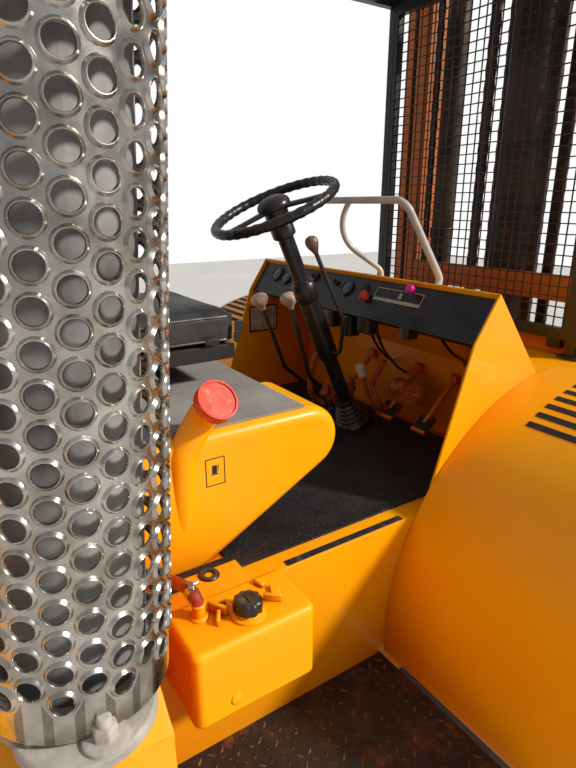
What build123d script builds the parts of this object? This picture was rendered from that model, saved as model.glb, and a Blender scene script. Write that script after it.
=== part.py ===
from build123d import *
import math
import os

os.makedirs("parts", exist_ok=True)

# A counterbalance forklift truck with twin front wheels, in millimetres.
# The x axis points to the truck's right, y forward and z up from the ground.
# Every piece is drawn with the front axle at y = 0, then moved by AXLE_Y.

# Running gear
CHASSIS_HALF = 605
WHEELBASE = 2500
REAR_OVERHANG = 730
FRONT_TYRE_R = 520
REAR_TYRE_R = 480
TYRE_WIDTH = 240
TWIN_PITCH = 280
RIM_R = 254
RIM_DISC_IN = 40
TYRE_SEAT = 0.6
WHEEL_SIDE_GAP = 25
AXLE_TUBE_R = 95
KINGPIN_X = 770
KINGPIN_R = 28
REAR_WHEEL_OFFSET = 140
TWIN_INNER_X = CHASSIS_HALF + WHEEL_SIDE_GAP + TYRE_WIDTH / 2
TWIN_OUTER_X = TWIN_INNER_X + TWIN_PITCH

# Body
FRAME_PLATE = 25
FRAME_BOTTOM = 330
FRAME_FRONT = 340
FLOOR_Z = 850
FLOOR_PLATE = 8
MAT_THICK = 6
MAT_MARGIN = 60
MAT_REAR = -1290
SHEET = 6
STEP_Z = 440
STEP_FRONT = -681
STEP_REAR = -1437
STEP_OUT = 1100
STEP_PLATE = 10
SIDE_BODY_HALF = 1040
SIDE_BODY_TOP = 1130
REAR_AXLE_AHEAD = 450
BODY_REAR = REAR_AXLE_AHEAD - WHEELBASE
ENGINE_GAP = 170
SEAM = 4

# Fenders over the front wheels
FENDER_R = 665
FENDER_OUT = 1170
FENDER_FRONT_ANGLE = 40
FENDER_LIP = 34
LAMP_X = 1010
LAMP_Y = 575
LAMP_Z = 990
LAMP_R = 75

# Cowl and dash
DASH_TOP = (-320, 1432)
DASH_LOW = (-404, 1305)
COWL_FRONT = (-78, 1141)
COWL_FOOT_Y = -547
DECK_FRONT = 300
BULKHEAD_TOP = 1225

# Steering
WHEEL_CENTRE_Y = -650
WHEEL_CENTRE_Z = 1650
STEERING_WHEEL_R = 210
STEERING_RIM_R = 14
COLUMN_RAKE = 24
COLUMN_R = 26
HUB_R = 38
HUB_BOSS_R = 52
HUB_UNDER = 34
HUB_GAP = 0.5
COLUMN_FOOT_Y = WHEEL_CENTRE_Y + (WHEEL_CENTRE_Z - FLOOR_Z) * math.tan(math.radians(COLUMN_RAKE))

# Levers as (points, stem radius, knob radius) and pedals as (x, half width)
LEVER_FOOT = FLOOR_Z + MAT_THICK
LEVERS = (
    ([(35.3, -434, 1165), (75, -434, 1165), (110, -450, 1290), (80, -562, 1543)], 7, 19),
    ([(-200, -330, LEVER_FOOT), (-200, -330, 930), (-205, -480, 1060), (-200, -589, 1325)], 8, 22),
    ([(-90, -330, LEVER_FOOT), (-90, -330, 930), (-95, -440, 1040), (-100, -529, 1337)], 8, 22),
)
PEDALS = ((-130, 38), (130, 38), (300, 30))
HANDLE_TOP = (-392, 1670)
HANDLE_R = 11

# Seat, tank and hood
HOOD_HALF = 228
HOOD_FRONT = -857
HOOD_TOP = 1179
HOOD_SHEET = 6
HINGE_Y = BODY_REAR + 18
HINGE_Z = HOOD_TOP + 13
MAT_LEFT = -30
TOP_MAT = 5
SEAT_HALF = 225
SEAT_FRONT = -894
SEAT_DEPTH = 480
CUSHION_TOP = 1408
CUSHION_THICK = 110
BACK_THICK = 95
BACK_HEIGHT = 440
TANK_IN = 236
TANK_OUT = 490
TANK_NOSE_Y = -760
TANK_NOSE_R = 85
TANK_UNDER_Y = -1120
TANK_EDGE_R = 28
CAP_R = 45
CAP_THICK = 26
NECK_R = 33
NECK_LINE = (
    (TANK_OUT - 34, -1195, 945),
    (TANK_OUT - 14, -1187, 1140),
    (TANK_OUT - 5, -1137, 1222),
    (TANK_OUT + 40, -1131, 1261),
)
NECK_BENDS = (60, 45)

# Counterweight
WEIGHT_HALF = 1040
WEIGHT_TOP = 1250
WEIGHT_BOTTOM = 350
WEIGHT_CORNER_R = 220
ARCH_Z = 1030
ARCH_HALF = 585
SPINE_HALF = 320
SPINE_RISE = 80
SPINE_END = BODY_REAR - 800
GRILLE_HALF = 260
GRILLE_LOW = 620
GRILLE_HIGH = 1000
TOW_BORE_R = 21
TOW_Z = 470
TAIL_LAMP_R = 45

# Overhead guard and front screen
GUARD_HALF = 496
GUARD_BAR = 32
GUARD_FRONT_Y = 270
GUARD_REAR_Y = -1500
GUARD_ROOF_Z = 2440
ROOF_BAR = 60
SCREEN_LOW = 1241
SCREEN_PITCH = 35
SCREEN_WIRE = 4
WIRE_GAP = 0.3

# Mast
MAST_REAR = 440
MAST_DEPTH = 200
MAST_BOTTOM = 200
MAST_TOP = 2750
RAIL_WALL = 20
OUTER_RAIL_OUT = 590
OUTER_RAIL_IN = 543
INNER_RAIL_OUT = 522
INNER_RAIL_IN = 462
ROLLER_PLAY = 0.4
ROLLER_R = MAST_DEPTH / 2 - RAIL_WALL - ROLLER_PLAY
PIVOT_Y = 385
PIVOT_Z = 520
PIVOT_PIN_R = 24
PIN_PLAY = 0.3
LUG_R = 38
SIDE_JACK_X = 362
TIE_THICK = 10
TIE_GAP = 5
INNER_TIE = 12
INNER_TIES = ((MAST_BOTTOM + 80, MAST_BOTTOM + 200), (1300, 1400))
ROLLER_HEIGHTS = (MAST_BOTTOM + 100, MAST_BOTTOM + 420)
TOP_PLATE = 24
SIDE_JACK_R = 48
SIDE_ROD_R = 27
CENTRE_JACK_R = 88
CENTRE_ROD_R = 45
LIFT_CHAIN_X = 150
LIFT_CHAIN_WIDTH = 38
CHAIN_PITCH = 76
CHAIN_WAIST = 9
CHAIN_DEPTH = 13
SIDE_CHAIN_X = 430
JACK_SIDE_Y = MAST_REAR + 75
JACK_COLLAR_Z = 1510
JACK_FOOT = 30
JACK_COLLAR = 2
CENTRE_JACK_Y = MAST_REAR + 110
SHEAVE_R = 60
CHAIN_REAR_Y = CENTRE_JACK_Y - SHEAVE_R
CHAIN_FRONT_Y = CENTRE_JACK_Y + SHEAVE_R
CENTRE_JACK_TOP = MAST_TOP - 330
CROSSHEAD_Z = MAST_TOP - 220
CHAIN_ANCHOR_Z = 1150

# Fork carriage
CARRIAGE_HALF = 700
CARRIAGE_FACE = 790
CARRIAGE_BAR = 60
CARRIAGE_LOW = 170
CARRIAGE_HIGH = CARRIAGE_LOW + 635
CARRIAGE_BAR_HEIGHT = 130
FORK_LENGTH = 1200
FORK_WIDTH = 150
FORK_THICK = 65
FORK_SPREAD = 420
FORK_UNDER = 60
FORK_HOOK_LIP = 28
FORK_HOOK_DROP = 26

# Tilt jacks
TILT_X = 330
TILT_REAR_Y = -330
TILT_REAR_Z = 760
TILT_FRONT_Y = 394
TILT_FRONT_Z = 790
TILT_BARREL_R = 42
TILT_ROD_R = 22
TILT_PIN_R = 16
TILT_EYE_R = 34
TILT_EYE_PLAY = 1.6
OUTER_TIES = (
    (MAST_BOTTOM, MAST_BOTTOM + 60),
    (TILT_FRONT_Z - 45, TILT_FRONT_Z + 45),
    (MAST_TOP - 130, MAST_TOP - 30),
)

# Exhaust stack
STACK_X = 960
STACK_Y = -1518
STACK_R = 105
STACK_LEAN = 3.6
STACK_FOOT_R = 96
STACK_PIPE_R = 58
STACK_WALL = 3
STACK_LOW = 1149
STACK_TOP = 2250
SILENCER_R = 78

# Brake fluid reservoir on the right side plate, as (x0, x1, y0, y1, z0, z1) and cap (x, y)
RESERVOIR = (CHASSIS_HALF + 3, CHASSIS_HALF + 155, -1302, -1023, 700, 868)
RESERVOIR_CAP = (CHASSIS_HALF + 99, -1156)
BRACKET = (-1226, -1090)

FORK_TIP = CARRIAGE_FACE + FORK_LENGTH
REAR_END = WHEELBASE + REAR_OVERHANG
AXLE_Y = (REAR_END - FORK_TIP) / 2
SIDES = (("right", 1), ("left", -1))


def box(x0, x1, y0, y1, z0, z1):
    """A block between two corners."""
    size = (abs(x1 - x0), abs(y1 - y0), abs(z1 - z0))
    return Pos((x0 + x1) / 2, (y0 + y1) / 2, (z0 + z1) / 2) * Box(*size)


def mirrored_box(x0, x1, y0, y1, z0, z1):
    """The same block on both sides of the truck."""
    return box(x0, x1, y0, y1, z0, z1) + box(-x1, -x0, y0, y1, z0, z1)


def plate(points, x0, x1):
    """A flat outline of (y, z) corners, from x0 to x1."""
    face = Plane.YZ * make_face(Polyline(*points, close=True))
    return Pos(x0, 0, 0) * extrude(face, x1 - x0, dir=(1, 0, 0))


def section(points, y0, y1):
    """A flat outline of (x, z) corners, from y0 to y1."""
    face = Plane.XZ * make_face(Polyline(*points, close=True))
    return Pos(0, y0, 0) * extrude(face, y1 - y0, dir=(0, 1, 0))


def join(shapes):
    """All the shapes as one body, or as separate solids where they don't touch."""
    return shapes[0] + list(shapes[1:])


def rod(start, end, radius):
    """A round bar between two points."""
    start, end = Vector(*start), Vector(*end)
    line = end - start
    return Plane(origin=(start + end) / 2, z_dir=line) * Cylinder(radius, line.length)


def cross_rod(x0, x1, y, z, radius):
    """A round bar along x."""
    return Pos((x0 + x1) / 2, y, z) * Rot(0, 90, 0) * Cylinder(radius, abs(x1 - x0))


def upright(x, y, z0, z1, radius):
    """A round bar along z."""
    return Pos(x, y, (z0 + z1) / 2) * Cylinder(radius, z1 - z0)


def bent_tube(points, bends, radius):
    """A tube of round section along straight runs joined by tangent arcs."""
    path = FilletPolyline(*points, radius=bends)
    start = Plane(origin=path @ 0, z_dir=path % 0)
    return sweep(start * Circle(radius), path=path)


def turned(profile, x, y, z):
    """A shape turned about an axis along x, from (x, r) corners."""
    face = make_face(Polyline(*profile, close=True))
    return Pos(x, y, z) * revolve(face, Axis.X)


def mirror_x(shape):
    """The same shape on the other side of the truck."""
    return mirror(shape, Plane.YZ)


def tyre(radius, side):
    """One tyre about an axis along x, its outer side towards side."""
    half = TYRE_WIDTH / 2
    bead = RIM_R + TYRE_SEAT
    tread = radius
    shoulder = radius - 34
    profile = [
        (-half * 0.72, bead),
        (-half, (bead + shoulder) / 2),
        (-half * 0.92, shoulder),
        (-half * 0.78, tread),
        (half * 0.78, tread),
        (half * 0.92, shoulder),
        (half, (bead + shoulder) / 2),
        (half * 0.72, bead),
    ]
    return turned([(side * x, r) for x, r in profile], 0, 0, 0)


def rim(disc_in, disc_out, hub_out, side):
    """A rim band with its disc and hub, the disc from disc_in to disc_out."""
    half = TYRE_WIDTH * 0.36
    lip = 14
    band = turned([(-half, RIM_R - lip), (half, RIM_R - lip), (half, RIM_R), (-half, RIM_R)], 0, 0, 0)
    disc_x = side * (disc_in + disc_out) / 2
    disc = Pos(disc_x, 0, 0) * Rot(0, 90, 0) * Cylinder(RIM_R - lip + 1, disc_out - disc_in)
    hub_x = side * (disc_in + hub_out) / 2
    hub = Pos(hub_x, 0, 0) * Rot(0, 90, 0) * Cylinder(95, hub_out - disc_in)
    return band + disc + hub


def front_tyres(side):
    return join([Pos(side * x, 0, FRONT_TYRE_R) * tyre(FRONT_TYRE_R, side)
                 for x in (TWIN_INNER_X, TWIN_OUTER_X)])


def front_rims(side):
    """Both rims of a twin wheel, joined by their hub."""
    reach = TWIN_OUTER_X - TWIN_INNER_X
    inner = Pos(side * TWIN_INNER_X, 0, FRONT_TYRE_R) * rim(RIM_DISC_IN, RIM_DISC_IN + 20, reach, side)
    outer = Pos(side * TWIN_OUTER_X, 0, FRONT_TYRE_R) * rim(-60, -40, 70, side)
    return inner + outer


def rear_tyre(side):
    x = KINGPIN_X + REAR_WHEEL_OFFSET
    return Pos(side * x, -WHEELBASE, REAR_TYRE_R) * tyre(REAR_TYRE_R, side)


def rear_rim(side):
    x = KINGPIN_X + REAR_WHEEL_OFFSET
    return Pos(side * x, -WHEELBASE, REAR_TYRE_R) * rim(0, 20, 75, side)


def drive_axle():
    """The front axle: a round differential case and its tubes with flanges."""
    reach = TWIN_INNER_X + RIM_DISC_IN - TYRE_SEAT
    flange_in = CHASSIS_HALF - FRAME_PLATE - 20
    tube = cross_rod(-reach, reach, 0, FRONT_TYRE_R, AXLE_TUBE_R)
    case = Pos(0, 0, FRONT_TYRE_R) * Sphere(185)
    nose = Pos(0, -150, FRONT_TYRE_R) * Rot(90, 0, 0) * Cone(110, 70, 160)
    axle = tube + case + nose
    for _, side in SIDES:
        axle += cross_rod(side * flange_in, side * (flange_in + 20), 0, FRONT_TYRE_R, 150)
    return axle


def steer_axle():
    """The rear axle beam with a fork for each kingpin and its steering jack."""
    y, z = -WHEELBASE, REAR_TYRE_R
    inner = KINGPIN_X - 90
    beam = box(-inner, inner, y - 70, y + 70, z - 80, z + 60)
    jack = cross_rod(-240, 240, y + 112, z - 20, 50)
    jack_seat = mirrored_box(150, 200, y + 60, y + 110, z - 60, z + 20)
    mounts = mirrored_box(200, SPINE_HALF - 10, y - 60, y + 60, z + 60, z + SPINE_RISE)
    axle = beam + jack + jack_seat + mounts
    for _, side in SIDES:
        for low, high in ((-110, -75), (75, 110)):
            arm = box(side * (inner - 70), side * (KINGPIN_X), y - 55, y + 55, z + low, z + high)
            eye = upright(side * KINGPIN_X, y, z + low, z + high, 55)
            axle += arm + eye
        axle += box(side * (inner - 70), side * (inner - 20), y - 55, y + 55, z - 110, z + 110)
        axle -= upright(side * KINGPIN_X, y, z - 120, z + 120, KINGPIN_R + PIN_PLAY)
    return axle


def knuckle(side):
    """A steering knuckle: its kingpin, body and the stub that carries a rear wheel."""
    y, z = -WHEELBASE, REAR_TYRE_R
    pin = upright(side * KINGPIN_X, y, z - 125, z + 125, KINGPIN_R)
    body = upright(side * KINGPIN_X, y, z - 70, z + 70, 55)
    stub_end = KINGPIN_X + REAR_WHEEL_OFFSET - 0.5
    stub = cross_rod(side * KINGPIN_X, side * stub_end, y, z, 42)
    return pin + body + stub


def chassis_frame():
    """Two deep side plates, the floor plate, cross members and the rear spine."""
    inner = CHASSIS_HALF - FRAME_PLATE
    floor_low = FLOOR_Z - FLOOR_PLATE
    side_rear = -WHEELBASE + ARCH_HALF + 15
    frame = mirrored_box(inner, CHASSIS_HALF, side_rear, FRAME_FRONT, FRAME_BOTTOM, floor_low)
    frame += box(-CHASSIS_HALF, CHASSIS_HALF, STEP_REAR, FRAME_FRONT, floor_low, FLOOR_Z)
    frame -= box(-HOOD_HALF + 12, HOOD_HALF - 12, STEP_REAR - 1, HOOD_FRONT - 12,
                 floor_low - 1, FLOOR_Z + 1)
    frame += box(-inner, inner, FRAME_FRONT - 40, FRAME_FRONT, FRAME_BOTTOM, floor_low)
    frame += box(-inner, inner, TILT_REAR_Y - 110, TILT_REAR_Y - 80, 560, floor_low)
    frame += box(-inner, inner, side_rear, side_rear + 20, FRAME_BOTTOM, floor_low)
    frame += mirrored_box(SPINE_HALF - 30, SPINE_HALF - 10, SPINE_END, side_rear + 10,
                          REAR_TYRE_R + SPINE_RISE, floor_low)
    frame += mirrored_box(SPINE_HALF - 30, SPINE_HALF - 10, SPINE_END, BODY_REAR - 20, floor_low - 1, ARCH_Z)
    frame -= cross_rod(-CHASSIS_HALF - 1, CHASSIS_HALF + 1, 0, FRONT_TYRE_R, AXLE_TUBE_R + PIN_PLAY)
    lug_x = OUTER_RAIL_IN - 40
    for _, side in SIDES:
        slot = (side * (TILT_X - TILT_BARREL_R - 12), side * (TILT_X + TILT_BARREL_R + 12))
        frame -= box(*slot, FRAME_FRONT - 41, FRAME_FRONT + 1, 700, floor_low)
        for low, high in ((-30, -55), (30, 55)):
            x0, x1 = side * (lug_x + low), side * (lug_x + high)
            cheek = box(x0, x1, FRAME_FRONT - 5, PIVOT_Y, PIVOT_Z - LUG_R, PIVOT_Z + LUG_R)
            frame += cheek + cross_rod(x0, x1, PIVOT_Y, PIVOT_Z, LUG_R)
        frame += cross_rod(side * (lug_x - 60), side * (lug_x + 60), PIVOT_Y, PIVOT_Z, PIVOT_PIN_R)
        for low, high in ((-60, -38), (38, 60)):
            x0, x1 = side * (TILT_X + low), side * (TILT_X + high)
            cheek = box(x0, x1, TILT_REAR_Y - 82, TILT_REAR_Y, TILT_REAR_Z - 34, TILT_REAR_Z + 34)
            frame += cheek + cross_rod(x0, x1, TILT_REAR_Y, TILT_REAR_Z, 34)
        frame += cross_rod(side * (TILT_X - 65), side * (TILT_X + 65), TILT_REAR_Y, TILT_REAR_Z,
                           TILT_PIN_R)
    return frame


def floor_mat():
    """The ribbed rubber mat, cut round the column and the tank."""
    low, high = FLOOR_Z, FLOOR_Z + MAT_THICK
    edge = CHASSIS_HALF - MAT_MARGIN
    rear = HOOD_FRONT + 10
    mat = box(-edge, edge, rear, COWL_FRONT[0] - 40, low, high)
    mat += [box(TANK_OUT + SEAM, edge, MAT_REAR, rear, low, high),
            box(TANK_IN + SEAM, TANK_OUT + SEAM, TANK_UNDER_Y + 5 * SEAM, rear, low, high)]
    mat -= box(-60, 60, COLUMN_FOOT_Y - 60, COLUMN_FOOT_Y + 60, low - 1, high + 1)
    return mat


def cowl():
    """Side cheeks, sloping front and toe board of the dash console."""
    outline = [DASH_TOP, DASH_LOW, (COWL_FOOT_Y, FLOOR_Z), (DECK_FRONT, FLOOR_Z),
               (DECK_FRONT, COWL_FRONT[1]), COWL_FRONT]
    shell = plate(outline, CHASSIS_HALF - SHEET, CHASSIS_HALF)
    shell += plate(outline, -CHASSIS_HALF, -CHASSIS_HALF + SHEET)
    y0, z0 = DASH_TOP
    y1, z1 = COWL_FRONT
    slope = math.hypot(y1 - y0, z0 - z1)
    normal_y = (z0 - z1) / slope * SHEET
    normal_z = (y1 - y0) / slope * SHEET
    front = [(y0, z0), (y1, z1), (y1, FLOOR_Z), (y1 - SHEET, FLOOR_Z), (y1 - SHEET, z1 - 2),
             (y0 - normal_y, z0 - normal_z)]
    shell += plate(front, -CHASSIS_HALF, CHASSIS_HALF)
    shell += box(-CHASSIS_HALF, CHASSIS_HALF, y1 - SHEET, DECK_FRONT, z1 - SHEET, z1)
    return shell


def front_bulkhead():
    """The upright panel between the fenders that carries the front screen."""
    panel = box(-CHASSIS_HALF + 12, CHASSIS_HALF - 12, DECK_FRONT, DECK_FRONT + SHEET,
                FLOOR_Z, BULKHEAD_TOP)
    return panel


def dash_panel():
    """The black instrument panel, hollow behind, between the cowl's cheeks."""
    y0, z0 = DASH_TOP
    y1, z1 = DASH_LOW
    run = math.hypot(y1 - y0, z1 - z0)
    back_y = (z0 - z1) / run
    back_z = (y1 - y0) / run
    drop, deep, wall = 14, 26, 5

    def at(along, depth):
        t = along / run
        return (y0 + (y1 - y0) * t + back_y * depth, z0 + (z1 - z0) * t + back_z * depth)

    outline = [at(12, drop), at(run - 2, drop), at(run - 2, drop + deep), at(run - 2 - wall, drop + deep),
               at(run - 2 - wall, drop + wall), at(12, drop + wall)]
    half = CHASSIS_HALF - SHEET - 0.3
    return plate(outline, -half, half)


def steering_column():
    """The raked column with its thick lower shroud and foot flange."""
    rake = math.radians(COLUMN_RAKE)
    top = -HUB_UNDER - HUB_GAP

    def at(distance):
        return (0, WHEEL_CENTRE_Y - distance * math.sin(rake), WHEEL_CENTRE_Z + distance * math.cos(rake))

    foot = (FLOOR_Z + 30 - WHEEL_CENTRE_Z) / math.cos(rake)
    column = rod(at(foot), at(top), COLUMN_R)
    column += [rod(at(-560), at(-260), COLUMN_R + 9),
               box(-50, 50, COLUMN_FOOT_Y - 50, COLUMN_FOOT_Y + 50, FLOOR_Z, FLOOR_Z + 40)]
    return column


def steering_wheel():
    """A rim, three flat spokes and a domed hub."""
    rim_ring = Torus(STEERING_WHEEL_R - STEERING_RIM_R, STEERING_RIM_R)
    hub = Pos(0, 0, -HUB_UNDER / 2) * Cylinder(HUB_R, HUB_UNDER) + Pos(0, 0, 9) * Cone(HUB_BOSS_R, 30, 20)
    wheel = rim_ring + hub
    reach = STEERING_WHEEL_R - STEERING_RIM_R
    for angle in (30, 150, 270):
        spoke = Pos(reach / 2, 0, -4) * Box(reach, 26, 8)
        wheel += Rot(0, 0, angle) * spoke
    return Pos(0, WHEEL_CENTRE_Y, WHEEL_CENTRE_Z) * Rot(COLUMN_RAKE, 0, 0) * wheel


def fender(side):
    """A rounded mudguard: an arc over the twin wheels, straight down to the step."""
    z = FRONT_TYRE_R
    angle = math.radians(FENDER_FRONT_ANGLE)
    outer, inner = FENDER_R, FENDER_R - SHEET
    mid = math.radians(100)

    def arc_plate(large, small, x0, x1):
        def at(radius, turn):
            return (radius * math.cos(turn), z + radius * math.sin(turn))

        edges = [
            ThreePointArc(at(large, angle), at(large, mid), (-large, z)),
            Line((-large, z), (-large, STEP_Z)),
            Line((-large, STEP_Z), (-small, STEP_Z)),
            Line((-small, STEP_Z), (-small, z)),
            ThreePointArc((-small, z), at(small, mid), at(small, angle)),
            Line(at(small, angle), at(large, angle)),
        ]
        face = Plane.YZ * make_face(edges)
        return Pos(x0, 0, 0) * extrude(face, x1 - x0, dir=(1, 0, 0))

    x0 = CHASSIS_HALF + 0.5
    guard = arc_plate(outer, inner, x0, FENDER_OUT)
    guard += arc_plate(outer, inner - FENDER_LIP, FENDER_OUT - SHEET, FENDER_OUT)
    return guard if side > 0 else mirror_x(guard)


def step(side):
    """A tread plate with a downturned front edge, hung from the side panel."""
    x0, x1 = CHASSIS_HALF, STEP_OUT
    tread = box(x0, x1, STEP_REAR + 2, STEP_FRONT, STEP_Z - STEP_PLATE, STEP_Z)
    skirt = box(x1 - STEP_PLATE, x1, STEP_REAR + 2, STEP_FRONT, STEP_Z - 90, STEP_Z)
    shape = tread + skirt
    for y in (STEP_REAR + 60, (STEP_REAR + STEP_FRONT) / 2, STEP_FRONT - 60):
        rib = [(x0, STEP_Z - STEP_PLATE), (x1 - STEP_PLATE, STEP_Z - STEP_PLATE),
               (x1 - STEP_PLATE, STEP_Z - 60), (x0, STEP_Z - 100)]
        shape += section(rib, y - 5, y + 5)
    return shape if side > 0 else mirror_x(shape)


def side_body(side):
    """The rear side box beside the hood, carried over the front of the rear wheel."""
    x0 = HOOD_HALF + 8
    deck = SIDE_BODY_TOP
    out = SIDE_BODY_HALF
    arch_front = -WHEELBASE + ARCH_HALF + 10
    lower = [(CHASSIS_HALF, STEP_Z), (out, STEP_Z), (out, deck - 60), (out - 60, deck), (x0, deck),
             (x0, FLOOR_Z), (CHASSIS_HALF, FLOOR_Z)]
    upper = [(x0, ARCH_Z + 10), (out, ARCH_Z + 10), (out, deck - 60), (out - 60, deck), (x0, deck)]
    shape = section(lower, arch_front, STEP_REAR) + section(upper, BODY_REAR + SEAM, arch_front + 1)
    return shape if side > 0 else mirror_x(shape)


def fuel_tank():
    """The console tank beside the seat: a round nose, a sloping underside and a bent filler neck."""
    top = HOOD_TOP
    r = TANK_NOSE_R
    rear = STEP_REAR + SEAM
    centre = (TANK_NOSE_Y - r, top - r)
    foot = (TANK_UNDER_Y, FLOOR_Z)
    reach = math.hypot(centre[0] - foot[0], centre[1] - foot[1])
    slope = math.atan2(centre[1] - foot[1], centre[0] - foot[0]) - math.asin(r / reach)
    under = (centre[0] + r * math.sin(slope), centre[1] - r * math.cos(slope))
    tip = (centre[0] + r, centre[1])
    edges = [
        Polyline(under, foot, (rear, FLOOR_Z), (rear, top), (centre[0], top)),
        ThreePointArc((centre[0], top), tip, under),
    ]
    face = Plane.YZ * make_face(edges)
    tank = Pos(TANK_IN, 0, 0) * extrude(face, TANK_OUT - TANK_IN, dir=(1, 0, 0))
    outer = tank.edges().group_by(Axis.X)[-1]
    rim_edges = [e for e in outer if e.center().Z > FLOOR_Z + 20 and e.center().Y > rear + 20]
    return fillet(rim_edges, TANK_EDGE_R) + bent_tube(NECK_LINE, NECK_BENDS, NECK_R)


def fuel_cap():
    """The round cap on the filler neck, with its raised edge."""
    base = Vector(*NECK_LINE[-1])
    axis = (base - Vector(*NECK_LINE[-2])).normalized()
    cap = rod(tuple(base), tuple(base + axis * CAP_THICK), CAP_R)
    dish = rod(tuple(base + axis * (CAP_THICK - 3)), tuple(base + axis * (CAP_THICK + 1)), CAP_R - 5)
    return cap - dish


def tank_mat():
    """The grey rubber mat on top of the tank, cut round the filler neck."""
    y0, y1 = STEP_REAR + 20, TANK_NOSE_Y - TANK_NOSE_R - 12
    mat = box(HOOD_HALF + SEAM, TANK_OUT - TANK_EDGE_R + 6, y0, y1, HOOD_TOP, HOOD_TOP + TOP_MAT)
    return mat - bent_tube(NECK_LINE, NECK_BENDS, NECK_R + 3)


def hood_mat():
    """The same mat carried on over the right part of the hood."""
    y0, y1 = STEP_REAR + 20, TANK_NOSE_Y - TANK_NOSE_R - 12
    return box(MAT_LEFT, HOOD_HALF + 2, y0, y1, HOOD_TOP, HOOD_TOP + TOP_MAT)


def hood():
    """The engine cover under the seat, open behind and below, with its hinge knuckles."""
    rear = BODY_REAR + 10
    low = FLOOR_Z + 0.3
    t = HOOD_SHEET
    shape = box(-HOOD_HALF, HOOD_HALF, rear, HOOD_FRONT, HOOD_TOP - t, HOOD_TOP)
    shape += mirrored_box(HOOD_HALF - t, HOOD_HALF, rear, HOOD_FRONT, low, HOOD_TOP)
    shape += box(-HOOD_HALF, HOOD_HALF, HOOD_FRONT - t, HOOD_FRONT, low, HOOD_TOP)
    for _, side in SIDES:
        x = side * 140
        shape += cross_rod(x - 30, x + 30, HINGE_Y, HINGE_Z, 12)
        shape += box(x - 30, x + 30, HINGE_Y, rear + 40, HOOD_TOP - 1, HOOD_TOP + 5)
        shape -= cross_rod(x - 31, x + 31, HINGE_Y, HINGE_Z, 6 + PIN_PLAY)
    return shape


def seat_base():
    """The suspension box between the hood and the cushion."""
    low = HOOD_TOP
    high = CUSHION_TOP - CUSHION_THICK
    y0, y1 = SEAT_FRONT - SEAT_DEPTH + 20, SEAT_FRONT - 40
    shape = box(-SEAT_HALF + 40, MAT_LEFT - 1, y0, SEAT_FRONT + 24, low, high - 40)
    y_back = SEAT_FRONT - SEAT_DEPTH - 54
    shape += box(-SEAT_HALF + 10, SEAT_HALF - 10, y_back - 12, y1 + 20, high - 40, high - 0.3)
    shape += box(60, SEAT_HALF - 25, y0, y0 + 90, low + TOP_MAT, high - 39)
    shape += mirrored_box(60, 100, y_back - 12, y_back, high - 40, high + 260)
    return shape


def seat_cushion():
    body = box(-SEAT_HALF, SEAT_HALF, SEAT_FRONT - SEAT_DEPTH, SEAT_FRONT,
               CUSHION_TOP - CUSHION_THICK, CUSHION_TOP)
    return fillet(body.edges().filter_by(Axis.Z), 40)


def seat_back():
    y1 = SEAT_FRONT - SEAT_DEPTH - 53.7
    body = box(-SEAT_HALF, SEAT_HALF, y1, y1 + BACK_THICK, CUSHION_TOP + 8,
               CUSHION_TOP + BACK_HEIGHT)
    return fillet(body.edges().filter_by(Axis.Y), 50)


def engine_block():
    """The engine and radiator as one plain heavy block behind and under the seat."""
    return box(-195, 195, BODY_REAR + ENGINE_GAP, -1180, 520, 1040)


def counterweight():
    """A cast rear weight with rounded corners, wheel arches and a cooling opening."""
    rear = -REAR_END
    front = BODY_REAR
    half = WEIGHT_HALF
    body = box(-half, half, rear, front, WEIGHT_BOTTOM, WEIGHT_TOP)
    corners = body.edges().filter_by(Axis.Z).group_by(Axis.Y)[0]
    body = fillet(corners, WEIGHT_CORNER_R)
    arch_rear = -WHEELBASE - ARCH_HALF
    for _, side in SIDES:
        body -= box(side * SPINE_HALF, side * (half + 1), arch_rear, front + 1, WEIGHT_BOTTOM - 1, ARCH_Z)
    body -= box(-SPINE_HALF - 1, SPINE_HALF + 1, arch_rear + 200, front + 1, WEIGHT_BOTTOM - 1, ARCH_Z)
    body -= box(-GRILLE_HALF, GRILLE_HALF, rear - 1, arch_rear + 201, GRILLE_LOW, GRILLE_HIGH)
    body -= box(-70, 70, rear - 1, rear + 90, TOW_Z - 50, TOW_Z + 50)
    body -= upright(0, rear + 45, WEIGHT_BOTTOM - 1, TOW_Z + 110, TOW_BORE_R)
    for _, side in SIDES:
        body -= lamp_disc(side, TAIL_LAMP_R + 0.3)
    slant = [(front + 1, WEIGHT_TOP - 60), (front - 240, WEIGHT_TOP + 1), (front + 1, WEIGHT_TOP + 1)]
    body -= plate(slant, -half - 1, half + 1)
    for _, side in SIDES:
        x = side * 140
        for low, high in ((-44, -34), (34, 44)):
            ear = box(x + low, x + high, front - 1, HINGE_Y, HINGE_Z - 12, HINGE_Z + 12)
            body += ear + cross_rod(x + low, x + high, HINGE_Y, HINGE_Z, 12)
        body += cross_rod(x - 44, x + 44, HINGE_Y, HINGE_Z, 6)
    return body


def radiator_grille():
    """Slats with two posts in the counterweight's cooling opening."""
    rear = -REAR_END
    low, high, half = GRILLE_LOW, GRILLE_HIGH, GRILLE_HALF - 0.3
    count = 9
    pitch = (high - low) / count
    shape = mirrored_box(half - 16, half, rear + 20, rear + 60, low + 0.3, high - 0.3)
    for i in range(count):
        z = low + pitch * (i + 0.5)
        slat = [(rear + 22, z - 12), (rear + 28, z - 14), (rear + 58, z + 12), (rear + 52, z + 14)]
        shape += plate(slat, -half, half)
    return shape


def tow_pin():
    """The drop-in towing pin with its loop handle."""
    y = -REAR_END + 45
    shank = upright(0, y, TOW_Z - 70, TOW_Z + 100, TOW_BORE_R - PIN_PLAY)
    return shank


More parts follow.
